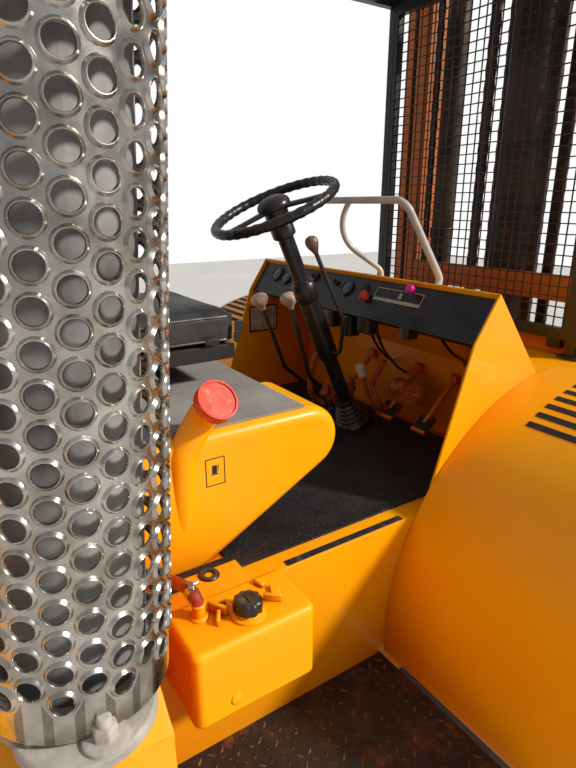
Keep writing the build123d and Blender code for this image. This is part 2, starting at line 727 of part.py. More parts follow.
def overhead_guard():
    """Four posts and a barred roof over the driver."""
    b = GUARD_BAR / 2
    roof = GUARD_ROOF_Z
    half = GUARD_HALF
    shape = Part()
    posts = ((GUARD_FRONT_Y, COWL_FRONT[1]), (GUARD_REAR_Y, SIDE_BODY_TOP))
    for y, foot in posts:
        shape += mirrored_box(half - b, half + b, y - b, y + b, foot, roof)
        shape += mirrored_box(half - b - 20, half + b + 20, y - b - 20, y + b - 0.1, foot, foot + 10)
    y0, y1 = GUARD_REAR_Y - b, GUARD_FRONT_Y + b
    shape += mirrored_box(half - b, half + b, y0, y1, roof, roof + ROOF_BAR)
    shape += box(-half - b, half + b, y0, y0 + GUARD_BAR, roof, roof + ROOF_BAR)
    shape += box(-half - b, half + b, y1 - GUARD_BAR, y1, roof, roof + ROOF_BAR)
    count = 7
    pitch = 2 * half / (count + 1)
    for i in range(count):
        x = -half + pitch * (i + 1)
        shape += box(x - 8, x + 8, y0 + 5, y1 - 5, roof + 5, roof + ROOF_BAR - 5)
    return shape


def front_screen():
    """The wire mesh and its frame between the guard's front posts."""
    half = GUARD_HALF - GUARD_BAR / 2 - 0.3
    side_bar, end_bar = 20, 30
    low, high = SCREEN_LOW - 40, GUARD_ROOF_Z - 0.3
    y0, y1 = GUARD_FRONT_Y - 15, GUARD_FRONT_Y + 15
    top = high - end_bar
    w = SCREEN_WIRE / 2
    pieces = [box(-half, half, y0, y1, low, SCREEN_LOW), box(-half, half, y0, y1, top, high)]
    pieces += [box(-half, -half + side_bar, y0, y1, low, high), box(half - side_bar, half, y0, y1, low, high)]
    columns = round(2 * half / SCREEN_PITCH)
    rows = round((top - SCREEN_LOW) / SCREEN_PITCH)
    y0, y1 = GUARD_FRONT_Y + WIRE_GAP, GUARD_FRONT_Y + SCREEN_WIRE
    for i in range(1, columns):
        x = -half + 2 * half * i / columns
        pieces.append(box(x - w, x + w, y0, y1, SCREEN_LOW - 1, top + 1))
    y0, y1 = GUARD_FRONT_Y - SCREEN_WIRE, GUARD_FRONT_Y
    for i in range(1, rows):
        z = SCREEN_LOW + (top - SCREEN_LOW) * i / rows
        pieces.append(box(-half + side_bar - 1, half - side_bar + 1, y0, y1, z - w, z + w))
    for _, side in SIDES:
        x = side * (half - 60)
        pieces.append(box(x - 25, x + 25, GUARD_FRONT_Y, DECK_FRONT - 0.3, BULKHEAD_TOP - 60, low + 20))
    return join(pieces)


def grab_handle():
    """The bent tube that stands on the cowl's sloping front, with its brace."""
    fall = COWL_FRONT[1] - DASH_TOP[1]
    run = COWL_FRONT[0] - DASH_TOP[0]
    slope = math.hypot(fall, run)
    out_y, out_z = -fall / slope, run / slope
    foot_y = DASH_TOP[0] + 20
    foot_z = DASH_TOP[1] + 20 * fall / run
    top_y, top_z = HANDLE_TOP

    def leg(x_foot, x_top):
        def off(distance):
            return (x_foot, foot_y + out_y * distance, foot_z + out_z * distance)

        return [off(0), off(40), (x_top, top_y, top_z)]

    hoop = bent_tube(leg(353, 302) + [(-100, top_y, top_z)], [30, 50], HANDLE_R)
    brace = bent_tube(leg(106, 30)[:2] + [(12, top_y - 30, top_z - 110), (50, top_y, top_z)], [30, 110], HANDLE_R - 2)
    return hoop + brace


def mast_rail(x_in, x_out, web_in, web_out):
    """An upright rail: a web with a flange at its rear and front."""
    y0, y1 = MAST_REAR, MAST_REAR + MAST_DEPTH
    z0, z1 = MAST_BOTTOM, MAST_TOP
    rail = mirrored_box(web_in, web_out, y0, y1, z0, z1)
    rail += mirrored_box(x_in, x_out, y0, y0 + RAIL_WALL, z0, z1)
    rail += mirrored_box(x_in, x_out, y1 - RAIL_WALL, y1, z0, z1)
    return rail


def mast_outer():
    """The outer uprights with their cross members, pivot lugs and tilt lugs."""
    y0 = MAST_REAR
    y_tie = y0 - TIE_GAP - TIE_THICK
    mast = mast_rail(OUTER_RAIL_IN, OUTER_RAIL_OUT, OUTER_RAIL_OUT - RAIL_WALL, OUTER_RAIL_OUT)
    lug_x = OUTER_RAIL_IN - 40
    pieces = []
    for z0, z1 in OUTER_TIES:
        pieces.append(box(-OUTER_RAIL_OUT, OUTER_RAIL_OUT, y_tie, y0 - TIE_GAP, z0, z1))
        for _, side in SIDES:
            pieces.append(box(side * (OUTER_RAIL_IN + 2), side * OUTER_RAIL_OUT, y_tie, y0 + 1, z0, z1))
    for _, side in SIDES:
        x0, x1 = side * (lug_x - 22), side * (lug_x + 22)
        z0, z1 = PIVOT_Z - LUG_R, PIVOT_Z + LUG_R
        pieces += [
            box(x0, x1, PIVOT_Y, y0 - TIE_GAP, z0, z1),
            cross_rod(x0, x1, PIVOT_Y, PIVOT_Z, LUG_R),
            box(x0, side * OUTER_RAIL_OUT, y_tie, y0 - TIE_GAP, z0, z1),
            box(side * (OUTER_RAIL_IN + 2), side * OUTER_RAIL_OUT, y_tie, y0 + 1, z0, z1),
        ]
        for low, high in ((-44, -24), (24, 44)):
            x0, x1 = side * (TILT_X + low), side * (TILT_X + high)
            pieces += [
                box(x0, x1, TILT_FRONT_Y, y_tie + 2, TILT_FRONT_Z - 30, TILT_FRONT_Z + 30),
                cross_rod(x0, x1, TILT_FRONT_Y, TILT_FRONT_Z, 30),
            ]
        pieces.append(cross_rod(side * (TILT_X - 46), side * (TILT_X + 46), TILT_FRONT_Y, TILT_FRONT_Z,
                                TILT_PIN_R))
    mast += pieces
    for _, side in SIDES:
        x0, x1 = side * (lug_x - 23), side * (lug_x + 23)
        mast -= cross_rod(x0, x1, PIVOT_Y, PIVOT_Z, PIVOT_PIN_R + PIN_PLAY)
    return mast


def mast_inner():
    """The inner uprights beside the outer ones, with rollers, rear ties and a top plate."""
    y0 = MAST_REAR + 2
    y1 = MAST_REAR + MAST_DEPTH
    mid = MAST_REAR + MAST_DEPTH / 2
    web_out = INNER_RAIL_OUT - RAIL_WALL
    mast = mast_rail(INNER_RAIL_IN, INNER_RAIL_OUT, web_out - RAIL_WALL, web_out)
    reach = OUTER_RAIL_OUT - RAIL_WALL - 2
    pieces = []
    for z0, z1 in INNER_TIES:
        pieces.append(box(-INNER_RAIL_IN - 4, INNER_RAIL_IN + 4, y0, y0 + INNER_TIE, z0, z1))
    for _, side in SIDES:
        for z in ROLLER_HEIGHTS:
            pieces.append(cross_rod(side * (web_out - 2), side * reach, mid, z, ROLLER_R))
    pieces.append(box(-INNER_RAIL_IN - 4, INNER_RAIL_IN + 4, y0, y1 - 30, MAST_TOP - TOP_PLATE, MAST_TOP))
    return mast + pieces


def side_jacks():
    """The two lifting cylinders that stand on the outer mast inside its rails."""
    shape = []
    foot = MAST_BOTTOM + JACK_FOOT
    y = JACK_SIDE_Y
    y_tie = MAST_REAR - TIE_GAP
    for _, side in SIDES:
        x = side * SIDE_JACK_X
        one = upright(x, y, foot, MAST_TOP - 160, SIDE_JACK_R)
        one += [upright(x, y, MAST_TOP - 200, MAST_TOP - 150, SIDE_JACK_R + 4),
                upright(x, y, JACK_COLLAR_Z, JACK_COLLAR_Z + 40, SIDE_JACK_R + 5),
                box(x - 55, x + 55, y_tie, y + 50, MAST_BOTTOM, foot)]
        one -= upright(x, y, foot + 40, MAST_TOP - 90, SIDE_ROD_R + 1)
        shape.append(one)
    return join(shape)


def side_rods():
    """The rods of the lifting cylinders, fixed under the inner mast's top."""
    return join([upright(side * SIDE_JACK_X, JACK_SIDE_Y, MAST_BOTTOM + 110, MAST_TOP - TOP_PLATE, SIDE_ROD_R)
                 for _, side in SIDES])


def centre_jack():
    """The broad cylinder on the outer mast's lower tie, with its two chain anchors."""
    y = CENTRE_JACK_Y
    foot = MAST_BOTTOM + JACK_FOOT
    barrel = upright(0, y, foot - 1, CENTRE_JACK_TOP, CENTRE_JACK_R)
    pieces = [box(-70, 70, MAST_REAR - TIE_GAP, y + 60, MAST_BOTTOM, foot),
              upright(0, y, CENTRE_JACK_TOP - 60, CENTRE_JACK_TOP, CENTRE_JACK_R + JACK_COLLAR)]
    for _, side in SIDES:
        x = side * LIFT_CHAIN_X
        z0, z1 = CHAIN_ANCHOR_Z - 40, CHAIN_ANCHOR_Z
        pieces.append(box(side * 60, x + side * 30, CHAIN_REAR_Y - 12, CHAIN_REAR_Y + 12, z0, z1))
    barrel += pieces
    barrel -= upright(0, y, foot + 60, CENTRE_JACK_TOP + 20, CENTRE_ROD_R + 1)
    return barrel


def crosshead():
    """The centre rod under the inner mast's top plate, its block and two chain sheaves."""
    y = CENTRE_JACK_Y
    z = CROSSHEAD_Z
    inner = LIFT_CHAIN_X - LIFT_CHAIN_WIDTH / 2 - 8
    outer = LIFT_CHAIN_X + LIFT_CHAIN_WIDTH / 2
    sheave_r = SHEAVE_R - 16
    low = MAST_BOTTOM + JACK_FOOT + 80
    shape = upright(0, y, low, MAST_TOP - TOP_PLATE, CENTRE_ROD_R)
    pieces = [box(-inner, inner, y - 30, y + 30, z - 40, z + 40),
              cross_rod(-outer - 10, outer + 10, y, z, 22)]
    for _, side in SIDES:
        x0, x1 = side * (outer - LIFT_CHAIN_WIDTH), side * outer
        pieces += [cross_rod(x0, x1, y, z, sheave_r),
                   cross_rod(x1, x1 + side * 8, y, z, sheave_r + 22),
                   cross_rod(x0 - side * 8, x0, y, z, sheave_r + 22)]
    return shape + pieces


def chain_run(x, y, z0, z1, width):
    """A straight run of leaf chain, its plates narrow and wide in turn."""
    count = round((z1 - z0) / CHAIN_PITCH)
    step_z = (z1 - z0) / (2 * count)
    half = (CHAIN_WAIST, CHAIN_DEPTH)
    edge = [(half[i % 2], z0 + step_z * i) for i in range(2 * count + 1)]
    outline = [(y + a, z) for a, z in edge] + [(y - a, z) for a, z in reversed(edge)]
    return plate(outline, x - width / 2, x + width / 2)


def lift_chains():
    """Two leaf chains from the jack's anchors, over the sheaves, down to the carriage."""
    z = CROSSHEAD_Z
    shape = []
    for _, side in SIDES:
        x = side * LIFT_CHAIN_X
        width = LIFT_CHAIN_WIDTH - 1
        rear = chain_run(x, CHAIN_REAR_Y, CHAIN_ANCHOR_Z + 1, z, width)
        front = chain_run(x, CHAIN_FRONT_Y, CARRIAGE_HIGH + 40, z, width)
        r0, r1 = SHEAVE_R - CHAIN_WAIST, SHEAVE_R + CHAIN_WAIST
        arch = cross_rod(x - width / 2, x + width / 2, CENTRE_JACK_Y, z, r1)
        arch -= cross_rod(x - width, x + width, CENTRE_JACK_Y, z, r0)
        arch -= box(x - width, x + width, CENTRE_JACK_Y - r1 - 1, CENTRE_JACK_Y + r1 + 1, z - r1 - 1, z)
        shape.append(arch + [rear, front])
    return join(shape)


def side_chains():
    """The chains beside the inner rails, hung from lugs at the inner mast's top."""
    y = MAST_REAR + 40
    return join([chain_run(side * SIDE_CHAIN_X, y, MAST_BOTTOM + 220, MAST_TOP - TOP_PLATE, 20)
                 for _, side in SIDES])


def carriage():
    """Side plates with rollers in the inner rails, and the two fork bars with their rebates."""
    mid = MAST_REAR + MAST_DEPTH / 2
    front = CARRIAGE_FACE - CARRIAGE_BAR
    lip = CARRIAGE_FACE - FORK_HOOK_LIP
    low, high = CARRIAGE_LOW, CARRIAGE_HIGH
    bar = CARRIAGE_BAR_HEIGHT
    half = CARRIAGE_HALF
    rebate = FORK_HOOK_DROP + 4
    shape = box(-half, half, front, CARRIAGE_FACE, low, low + bar)
    pieces = [box(-half, half, front, CARRIAGE_FACE, high - bar, high)]
    x_plate = INNER_RAIL_IN - 16
    reach = INNER_RAIL_OUT - 2 * RAIL_WALL - 4
    chain_half = LIFT_CHAIN_WIDTH / 2
    for _, side in SIDES:
        x0, x1 = side * (x_plate - 18), side * x_plate
        pieces.append(box(x0, x1, mid - 40, front + 1, low, high + 60))
        for z in (low + 120, high - 40):
            pieces.append(cross_rod(x1 - side, side * reach, mid, z, ROLLER_R))
        for x in (side * half * 0.3, side * half * 0.95):
            pieces.append(box(x - 20, x + 20, front + 5, CARRIAGE_FACE - 5, low + 60, high - 60))
        x = side * LIFT_CHAIN_X
        for a, b in ((-chain_half - 14, 0.2 - chain_half), (chain_half - 0.2, chain_half + 14)):
            pieces.append(box(x + a, x + b, CHAIN_FRONT_Y - 13, front + 1, high - 40, high + 70))
    shape += pieces
    shape -= box(-half - 1, half + 1, front - 1, lip, high - rebate, high + 1)
    shape -= box(-half - 1, half + 1, front - 1, lip, low - 1, low + rebate)
    return shape + [box(side * (x_plate - 18), side * x_plate, mid - 40, front + 8, low, high + 60)
                    for _, side in SIDES]


def forks():
    """Two forks: hooked shanks on the carriage bars and blades with tapered tips."""
    face = CARRIAGE_FACE + 0.5
    tip = FORK_TIP
    under = FORK_UNDER
    t = FORK_THICK
    low, high = CARRIAGE_LOW, CARRIAGE_HIGH
    lip_y = CARRIAGE_FACE - FORK_HOOK_LIP - 1
    hook_y = lip_y - 22
    drop = FORK_HOOK_DROP
    outline = [
        (tip, under + 6), (tip, under + 18), (face + 420, under + t), (face + t, under + t),
        (face + t, high + 30), (hook_y, high + 30), (hook_y, high - drop), (lip_y, high - drop),
        (lip_y, high + 1), (face, high + 1), (face, low - 1), (lip_y, low - 1), (lip_y, low + drop),
        (hook_y, low + drop), (hook_y, low - 28), (face, low - 28), (face, under + 20),
        (face + 20, under), (tip - 300, under),
    ]
    half = FORK_WIDTH / 2
    return join([plate(outline, side * FORK_SPREAD - half, side * FORK_SPREAD + half)
                 for _, side in SIDES])


def tilt_line():
    """The tilt jack's unit direction and length, from its rear pin to its front pin."""
    dy = TILT_FRONT_Y - TILT_REAR_Y
    dz = TILT_FRONT_Z - TILT_REAR_Z
    length = math.hypot(dy, dz)
    return dy / length, dz / length, length


def along_tilt(side, distance):
    """A point on the tilt jack's axis."""
    uy, uz, _ = tilt_line()
    return (side * TILT_X, TILT_REAR_Y + uy * distance, TILT_REAR_Z + uz * distance)


def tilt_barrel(side):
    """A tilt cylinder with its rear eye."""
    x = side * TILT_X
    barrel = rod(along_tilt(side, 55), along_tilt(side, 470), TILT_BARREL_R)
    eye = cross_rod(x - 20, x + 20, TILT_REAR_Y, TILT_REAR_Z, TILT_EYE_R)
    neck = rod(along_tilt(side, 0), along_tilt(side, 60), 24)
    shape = barrel + neck + eye
    shape -= cross_rod(x - 26, x + 26, TILT_REAR_Y, TILT_REAR_Z, TILT_PIN_R + PIN_PLAY)
    shape -= rod(along_tilt(side, 90), along_tilt(side, 480), TILT_ROD_R + 0.5)
    return shape


def tilt_rod(side):
    """A tilt rod with the front eye, whose bore leaves room for its small drift."""
    _, _, length = tilt_line()
    x = side * TILT_X
    shape = rod(along_tilt(side, 150), along_tilt(side, length - 10), TILT_ROD_R)
    shape += cross_rod(x - 20, x + 20, TILT_FRONT_Y, TILT_FRONT_Z, TILT_EYE_R - 4)
    shape -= cross_rod(x - 26, x + 26, TILT_FRONT_Y, TILT_FRONT_Z, TILT_PIN_R + TILT_EYE_PLAY)
    return shape


def in_stack(low, high, radius):
    """A round bar along the leaning stack, its ends measured up from the guard's lower rim."""
    bar = Pos(0, 0, (low + high) / 2) * Cylinder(radius, high - low)
    return Pos(STACK_X, STACK_Y, STACK_LOW) * Rot(-STACK_LEAN, 0, 0) * bar


def stack_foot():
    """The cast elbow flange between the side body and the stack."""
    shape = upright(STACK_X, STACK_Y, SIDE_BODY_TOP, SIDE_BODY_TOP + 10, STACK_FOOT_R)
    shape += upright(STACK_X, STACK_Y, SIDE_BODY_TOP, STACK_LOW + 10, STACK_PIPE_R)
    return shape + in_stack(2, 20, STACK_R - STACK_WALL - 0.3)


def silencer():
    """The silencer body inside the guard, with its outlet pipe."""
    top = STACK_TOP - STACK_LOW
    shape = in_stack(20, top - 60, SILENCER_R)
    shape += in_stack(top - 60, top + 140, 36)
    return shape - in_stack(top - 40, top + 141, 33)


def stack_guard():
    """The round heat guard about the silencer, left plain where the holes are."""
    tall = STACK_TOP - STACK_LOW
    return in_stack(0, tall, STACK_R) - in_stack(-1, tall + 1, STACK_R - STACK_WALL)


def reservoir():
    """The brake fluid tank on the side panel, with its neck and outlet."""
    x0, x1, y0, y1, z0, z1 = RESERVOIR
    body = box(x0, x1, y0, y1, z0, z1)
    body = fillet(body.edges().filter_by(Axis.Z).group_by(Axis.X)[-1], 20)
    body = fillet(body.edges().group_by(Axis.Z)[-1], 14)
    cx, cy = RESERVOIR_CAP
    body += upright(cx, cy, z1 - 5, z1 + 12, 24)
    body += upright(cx, cy - 20, z0 - 24, z0 + 10, 9)
    low, high = FLOOR_Z, FLOOR_Z + MAT_THICK + 4
    mat_edge = CHASSIS_HALF - MAT_MARGIN + 1
    body += box(CHASSIS_HALF, CHASSIS_HALF + 6, y0 + 20, y1 - 20, z1 - 40, high)
    body += box(mat_edge, CHASSIS_HALF + 6, BRACKET[0], BRACKET[1], low, high)
    body += box(mat_edge - 24, mat_edge + 1, BRACKET[0], BRACKET[1], high - 4, high)
    return body


def reservoir_cap():
    cx, cy = RESERVOIR_CAP
    z = RESERVOIR[5] + 12
    return upright(cx, cy, z, z + 26, 30)


def control_levers():
    """The direction lever on the column and the two hydraulic levers."""
    shape = []
    for points, radius, knob in LEVERS:
        stem = bent_tube(points, [28] * (len(points) - 2), radius)
        shape.append(stem + Pos(*points[-1]) * Sphere(knob))
    return join(shape)


def pedals():
    """Brake, inching and accelerator pedals with their arms on the toe board."""
    shape = []
    face = COWL_FRONT[0] - SHEET
    for x, half in PEDALS:
        arm = rod((x, face - 12, 1075), (x, face - 150, 940), 9)
        arm += box(x - 14, x + 14, face - 24, face, 1060, 1090)
        pad = Pos(x, face - 158, 932) * Rot(35, 0, 0) * Box(2 * half, 60, 12)
        shape.append(arm + pad)
    return join(shape)


def headlamps():
    """Two round work lamps on brackets at the front of the fenders."""
    shape = []
    for _, side in SIDES:
        x = side * LAMP_X
        bracket = box(x - 20, x + 20, LAMP_Y - 150, LAMP_Y - 30, LAMP_Z - 12, LAMP_Z + 12)
        bracket -= cross_rod(x - 21, x + 21, 0, FRONT_TYRE_R, FENDER_R + 0.3)
        shape.append(bracket + Pos(x, LAMP_Y, LAMP_Z) * Rot(90, 0, 0) * Cone(LAMP_R, LAMP_R - 13, 70))
    return join(shape)


def lamp_disc(side, radius):
    """The round of one tail lamp, its lens flush with the counterweight's rear."""
    return Pos(side * 650, -REAR_END + 8, 900) * Rot(90, 0, 0) * Cylinder(radius, 16)


def tail_lamps():
    """Round lamps let into the counterweight's rear."""
    return join([lamp_disc(side, TAIL_LAMP_R) for _, side in SIDES])


NODES = {
    "chassis_frame": chassis_frame(),
    "drive_axle": drive_axle(),
    "steer_axle": steer_axle(),
    "floor_mat": floor_mat(),
    "cowl": cowl() + front_bulkhead(),
    "dash_panel": dash_panel(),
    "steering_column": steering_column(),
    "steering_wheel": steering_wheel(),
    "control_levers": control_levers(),
    "pedals": pedals(),
    "grab_handle": grab_handle(),
    "fuel_tank": fuel_tank(),
    "fuel_cap": fuel_cap(),
    "tank_mat": tank_mat(),
    "hood_mat": hood_mat(),
    "hood": hood(),
    "seat_base": seat_base(),
    "seat_cushion": seat_cushion(),
    "seat_back": seat_back(),
    "engine_block": engine_block(),
    "counterweight": counterweight(),
    "radiator_grille": radiator_grille(),
    "tow_pin": tow_pin(),
    "overhead_guard": overhead_guard(),
    "front_screen": front_screen(),
    "fenders": join([fender(side) for _, side in SIDES]),
    "steps": join([step(side) for _, side in SIDES]),
    "side_bodies": join([side_body(side) for _, side in SIDES]),
    "mast_outer": mast_outer(),
    "mast_inner": mast_inner(),
    "side_jacks": side_jacks(),
    "side_rods": side_rods(),
    "side_chains": side_chains(),
    "centre_jack": centre_jack(),
    "crosshead": crosshead(),
    "lift_chains": lift_chains(),
    "carriage": carriage(),
    "forks": forks(),
    "stack_foot": stack_foot(),
    "silencer": silencer(),
    "stack_guard": stack_guard(),
    "reservoir": reservoir(),
    "reservoir_cap": reservoir_cap(),
    "headlamps": headlamps(),
    "tail_lamps": tail_lamps(),
}
for side_name, side_sign in SIDES:
    NODES["front_tyres_" + side_name] = front_tyres(side_sign)
    NODES["front_rims_" + side_name] = front_rims(side_sign)
    NODES["rear_tyre_" + side_name] = rear_tyre(side_sign)
    NODES["rear_rim_" + side_name] = rear_rim(side_sign)
    NODES["knuckle_" + side_name] = knuckle(side_sign)
    NODES["tilt_barrel_" + side_name] = tilt_barrel(side_sign)
    NODES["tilt_rod_" + side_name] = tilt_rod(side_sign)

for name, shape in NODES.items():
    export_step(Pos(0, AXLE_Y, 0) * shape, "parts/" + name + ".step")
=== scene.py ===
import math
import bmesh
import bpy
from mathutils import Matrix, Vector
from mathutils.bvhtree import BVHTree


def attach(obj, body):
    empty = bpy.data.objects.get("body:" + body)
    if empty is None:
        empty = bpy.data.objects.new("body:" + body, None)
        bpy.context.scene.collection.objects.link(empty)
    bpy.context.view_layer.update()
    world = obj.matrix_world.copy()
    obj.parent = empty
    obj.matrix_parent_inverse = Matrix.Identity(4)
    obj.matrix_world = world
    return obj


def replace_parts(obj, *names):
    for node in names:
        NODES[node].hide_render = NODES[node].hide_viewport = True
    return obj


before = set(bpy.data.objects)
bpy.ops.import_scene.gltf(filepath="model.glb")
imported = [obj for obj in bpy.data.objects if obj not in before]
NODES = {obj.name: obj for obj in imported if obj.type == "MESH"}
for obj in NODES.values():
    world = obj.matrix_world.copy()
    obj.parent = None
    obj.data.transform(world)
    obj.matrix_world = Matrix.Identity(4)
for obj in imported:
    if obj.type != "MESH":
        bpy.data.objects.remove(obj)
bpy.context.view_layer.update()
MM = 0.001
AXLE_Y = 0.62

# Places and directions that several pieces share, in millimetres, y from the front axle

SIDES = {"right": 1, "left": -1}
X_AXIS = (1, 0, 0)
Y_AXIS = (0, 1, 0)
Z_AXIS = (0, 0, 1)
FRONT_HUB = (0, 520)
FRONT_TYRE_R = 520
FRONT_TYRE_X = (750, 1030)
REAR_HUB = (-2500, 480)
REAR_TYRE_R = 480
REAR_TYRE_X = (910,)
WHEEL_CENTRE = Vector((0, -650, 1650))
COLUMN_AXIS = Vector((0, -0.4067, 0.9135))
DASH_UP = Vector((0, -0.834, 0.552))
DASH_RISE = Vector((0, 0.552, 0.834))
PEDAL_UP = Vector((0, -0.574, 0.819))
PEDAL_RISE = Vector((0, 0.819, 0.574))
SILL_TOP = 849.8
MAT_TOP = 856.2
STEP_TOP = 439.7


def at(x, y, z):
    """A point given in the truck's millimetres, y from the front axle."""
    return Vector((x * MM, y * MM + AXLE_Y, z * MM))


def srgb(red, green, blue):
    """A colour as written on a screen, turned linear."""
    def linear(value):
        c = value / 255
        return c / 12.92 if c <= 0.04045 else ((c + 0.055) / 1.055) ** 2.4

    return (linear(red), linear(green), linear(blue), 1)


# Materials

RUST = srgb(96, 46, 22)
GRIME = srgb(34, 24, 18)
DUST = srgb(150, 128, 104)


class Surface:
    """A procedural material, built up in steps from noise in the piece's own space."""

    def __init__(self, name, metallic=0.0, coat=0.0, coat_rough=0.1, specular=0.5):
        self.material = bpy.data.materials.new(name)
        self.material.use_nodes = True
        self.tree = self.material.node_tree
        self.tree.nodes.clear()
        out = self.node("ShaderNodeOutputMaterial")
        self.shader = self.node("ShaderNodeBsdfPrincipled")
        self.join(self.shader.outputs[0], out.inputs[0])
        self.shader.inputs["Metallic"].default_value = metallic
        self.shader.inputs["Coat Weight"].default_value = coat
        self.shader.inputs["Coat Roughness"].default_value = coat_rough
        self.shader.inputs["Specular IOR Level"].default_value = specular
        self.coords = self.node("ShaderNodeTexCoord").outputs["Object"]
        self.colour = None
        self.height = None

    def node(self, kind, **settings):
        made = self.tree.nodes.new(kind)
        for key, value in settings.items():
            setattr(made, key, value)
        return made

    def join(self, source, target):
        self.tree.links.new(source, target)

    def noise(self, scale, detail=4.0, roughness=0.55, stretch=None):
        coords = self.coords
        if stretch:
            mapping = self.node("ShaderNodeMapping")
            mapping.inputs["Scale"].default_value = stretch
            self.join(coords, mapping.inputs["Vector"])
            coords = mapping.outputs[0]
        made = self.node("ShaderNodeTexNoise")
        made.inputs["Scale"].default_value = scale
        made.inputs["Detail"].default_value = detail
        made.inputs["Roughness"].default_value = roughness
        self.join(coords, made.inputs["Vector"])
        return made.outputs["Fac"]

    def remap(self, value, low, high, to_low=0.0, to_high=1.0):
        made = self.node("ShaderNodeMapRange")
        made.inputs["From Min"].default_value = low
        made.inputs["From Max"].default_value = high
        made.inputs["To Min"].default_value = to_low
        made.inputs["To Max"].default_value = to_high
        self.join(value, made.inputs["Value"])
        return made.outputs[0]

    def times(self, first, second):
        made = self.node("ShaderNodeMath", operation="MULTIPLY")
        self.join(first, made.inputs[0])
        if isinstance(second, (int, float)):
            made.inputs[1].default_value = second
        else:
            self.join(second, made.inputs[1])
        return made.outputs[0]

    def mix(self, factor, first, second):
        made = self.node("ShaderNodeMix", data_type="RGBA")
        self.join(factor, made.inputs["Factor"])
        for value, socket in ((first, made.inputs["A"]), (second, made.inputs["B"])):
            if isinstance(value, tuple):
                socket.default_value = value
            else:
                self.join(value, socket)
        return made.outputs["Result"]

    def layer(self, colour, mask):
        self.colour = self.mix(mask, self.colour, colour)
        return self

    def base(self, light, dark, scale, low=0.3, high=0.7):
        """The ground colour, drifting between two tones."""
        self.colour = self.mix(self.remap(self.noise(scale), low, high), dark, light)
        return self

    def patches(self, colour, scale, low, high, strength, fine=40.0):
        """Irregular marks of another colour, broken up by a finer noise."""
        mask = self.remap(self.noise(scale, 6.0, 0.65), low, high)
        grain = self.remap(self.noise(fine, 3.0), 0.35, 0.6)
        return self.layer(colour, self.times(self.times(mask, grain), strength))

    def edges(self, colour, radius, low, high, strength, scale=30.0):
        """Wear along sharp edges, where a rounded normal leaves the true one."""
        bevel = self.node("ShaderNodeBevel", samples=4)
        bevel.inputs["Radius"].default_value = radius
        normal = self.node("ShaderNodeNewGeometry").outputs["Normal"]
        dot = self.node("ShaderNodeVectorMath", operation="DOT_PRODUCT")
        self.join(bevel.outputs[0], dot.inputs[0])
        self.join(normal, dot.inputs[1])
        turned = self.remap(dot.outputs["Value"], 1.0 - low, 1.0 - high)
        broken = self.remap(self.noise(scale, 6.0, 0.7), 0.48, 0.62)
        return self.layer(colour, self.times(self.times(turned, broken), strength))

    def dust(self, colour, strength, scale=5.0, start=0.4):
        """Dust that lies on the faces that look up."""
        normal = self.node("ShaderNodeNewGeometry").outputs["Normal"]
        apart = self.node("ShaderNodeSeparateXYZ")
        self.join(normal, apart.inputs[0])
        up = self.remap(apart.outputs["Z"], start, 1.0)
        cloud = self.remap(self.noise(scale, 8.0, 0.7), 0.35, 0.7)
        return self.layer(colour, self.times(self.times(up, cloud), strength))

    def painted_hollow_shade(self, colour, reach, low, high, strength):
        """Painted shade: a deeper tone where the faces round about shut the light out."""
        made = self.node("ShaderNodeAmbientOcclusion", samples=6)
        made.inputs["Distance"].default_value = reach
        return self.layer(colour, self.remap(made.outputs["AO"], low, high, strength, 0.0))

    def roughness(self, low, high, scale):
        self.join(self.remap(self.noise(scale), 0.3, 0.7, low, high), self.shader.inputs["Roughness"])
        return self

    def bump(self, scale, depth, detail, rough=0.55, stretch=None):
        """Fine relief, depth in metres."""
        made = self.node("ShaderNodeBump")
        made.inputs["Strength"].default_value = 1.0
        made.inputs["Distance"].default_value = depth
        self.join(self.noise(scale, detail, rough, stretch), made.inputs["Height"])
        if self.height is not None:
            self.join(self.height, made.inputs["Normal"])
        self.height = made.outputs[0]
        return self

    def rounded(self, radius):
        """Edges that catch the light like a small radius does."""
        bevel = self.node("ShaderNodeBevel", samples=4)
        bevel.inputs["Radius"].default_value = radius
        self.height = bevel.outputs[0]
        return self

    def done(self):
        self.join(self.colour, self.shader.inputs["Base Color"])
        if self.height is not None:
            self.join(self.height, self.shader.inputs["Normal"])
        return self.material


def painted(name, light, dark, rough=(0.3, 0.46), grime=0.35, deep=srgb(176, 60, 2)):
    """Gloss paint with painted shade (the deep colour) in its recesses, grime, rust chips and worn edges."""
    return (Surface(name, coat=0.12, specular=0.3)
            .rounded(0.004).bump(9.0, 0.0006, 2.0).bump(420.0, 0.00004, 2.0)
            .base(light, dark, 2.2)
            # painted shade: the deep colour darkens the paint where little light reaches
            .painted_hollow_shade(deep, 0.6, 0.14, 0.52, 0.92)
            .patches(GRIME, 1.7, 0.56, 0.8, grime, 60.0)
            .patches(RUST, 38.0, 0.72, 0.76, 0.8, 90.0)
            .edges(RUST, 0.003, 0.01, 0.12, 0.8, 26.0)
            .roughness(*rough, 7.0).done())


def yellow_paint():
    return painted("yellow_paint", srgb(255, 178, 0), srgb(252, 162, 0))


def worn_yellow():
    return painted("worn_yellow_paint", srgb(232, 146, 10), srgb(196, 110, 12), (0.35, 0.6), 0.6)


def mast_orange():
    # The last colour is the painted shade for the mast's recesses.
    return painted("mast_orange_paint", srgb(222, 122, 26), srgb(176, 90, 20), (0.4, 0.65), 0.75,
                   srgb(124, 66, 18))


def rusty_paint(name, light, dark):
    return (Surface(name, metallic=0.05)
            .rounded(0.003).bump(140.0, 0.0006, 6.0, 0.7)
            .base(light, dark, 16.0)
            .patches(RUST, 22.0, 0.46, 0.64, 0.9)
            .patches(GRIME, 9.0, 0.5, 0.7, 0.8)
            .roughness(0.45, 0.75, 20.0).done())


def rusty_orange():
    return rusty_paint("rusty_orange_paint", srgb(206, 110, 28), srgb(150, 66, 18))


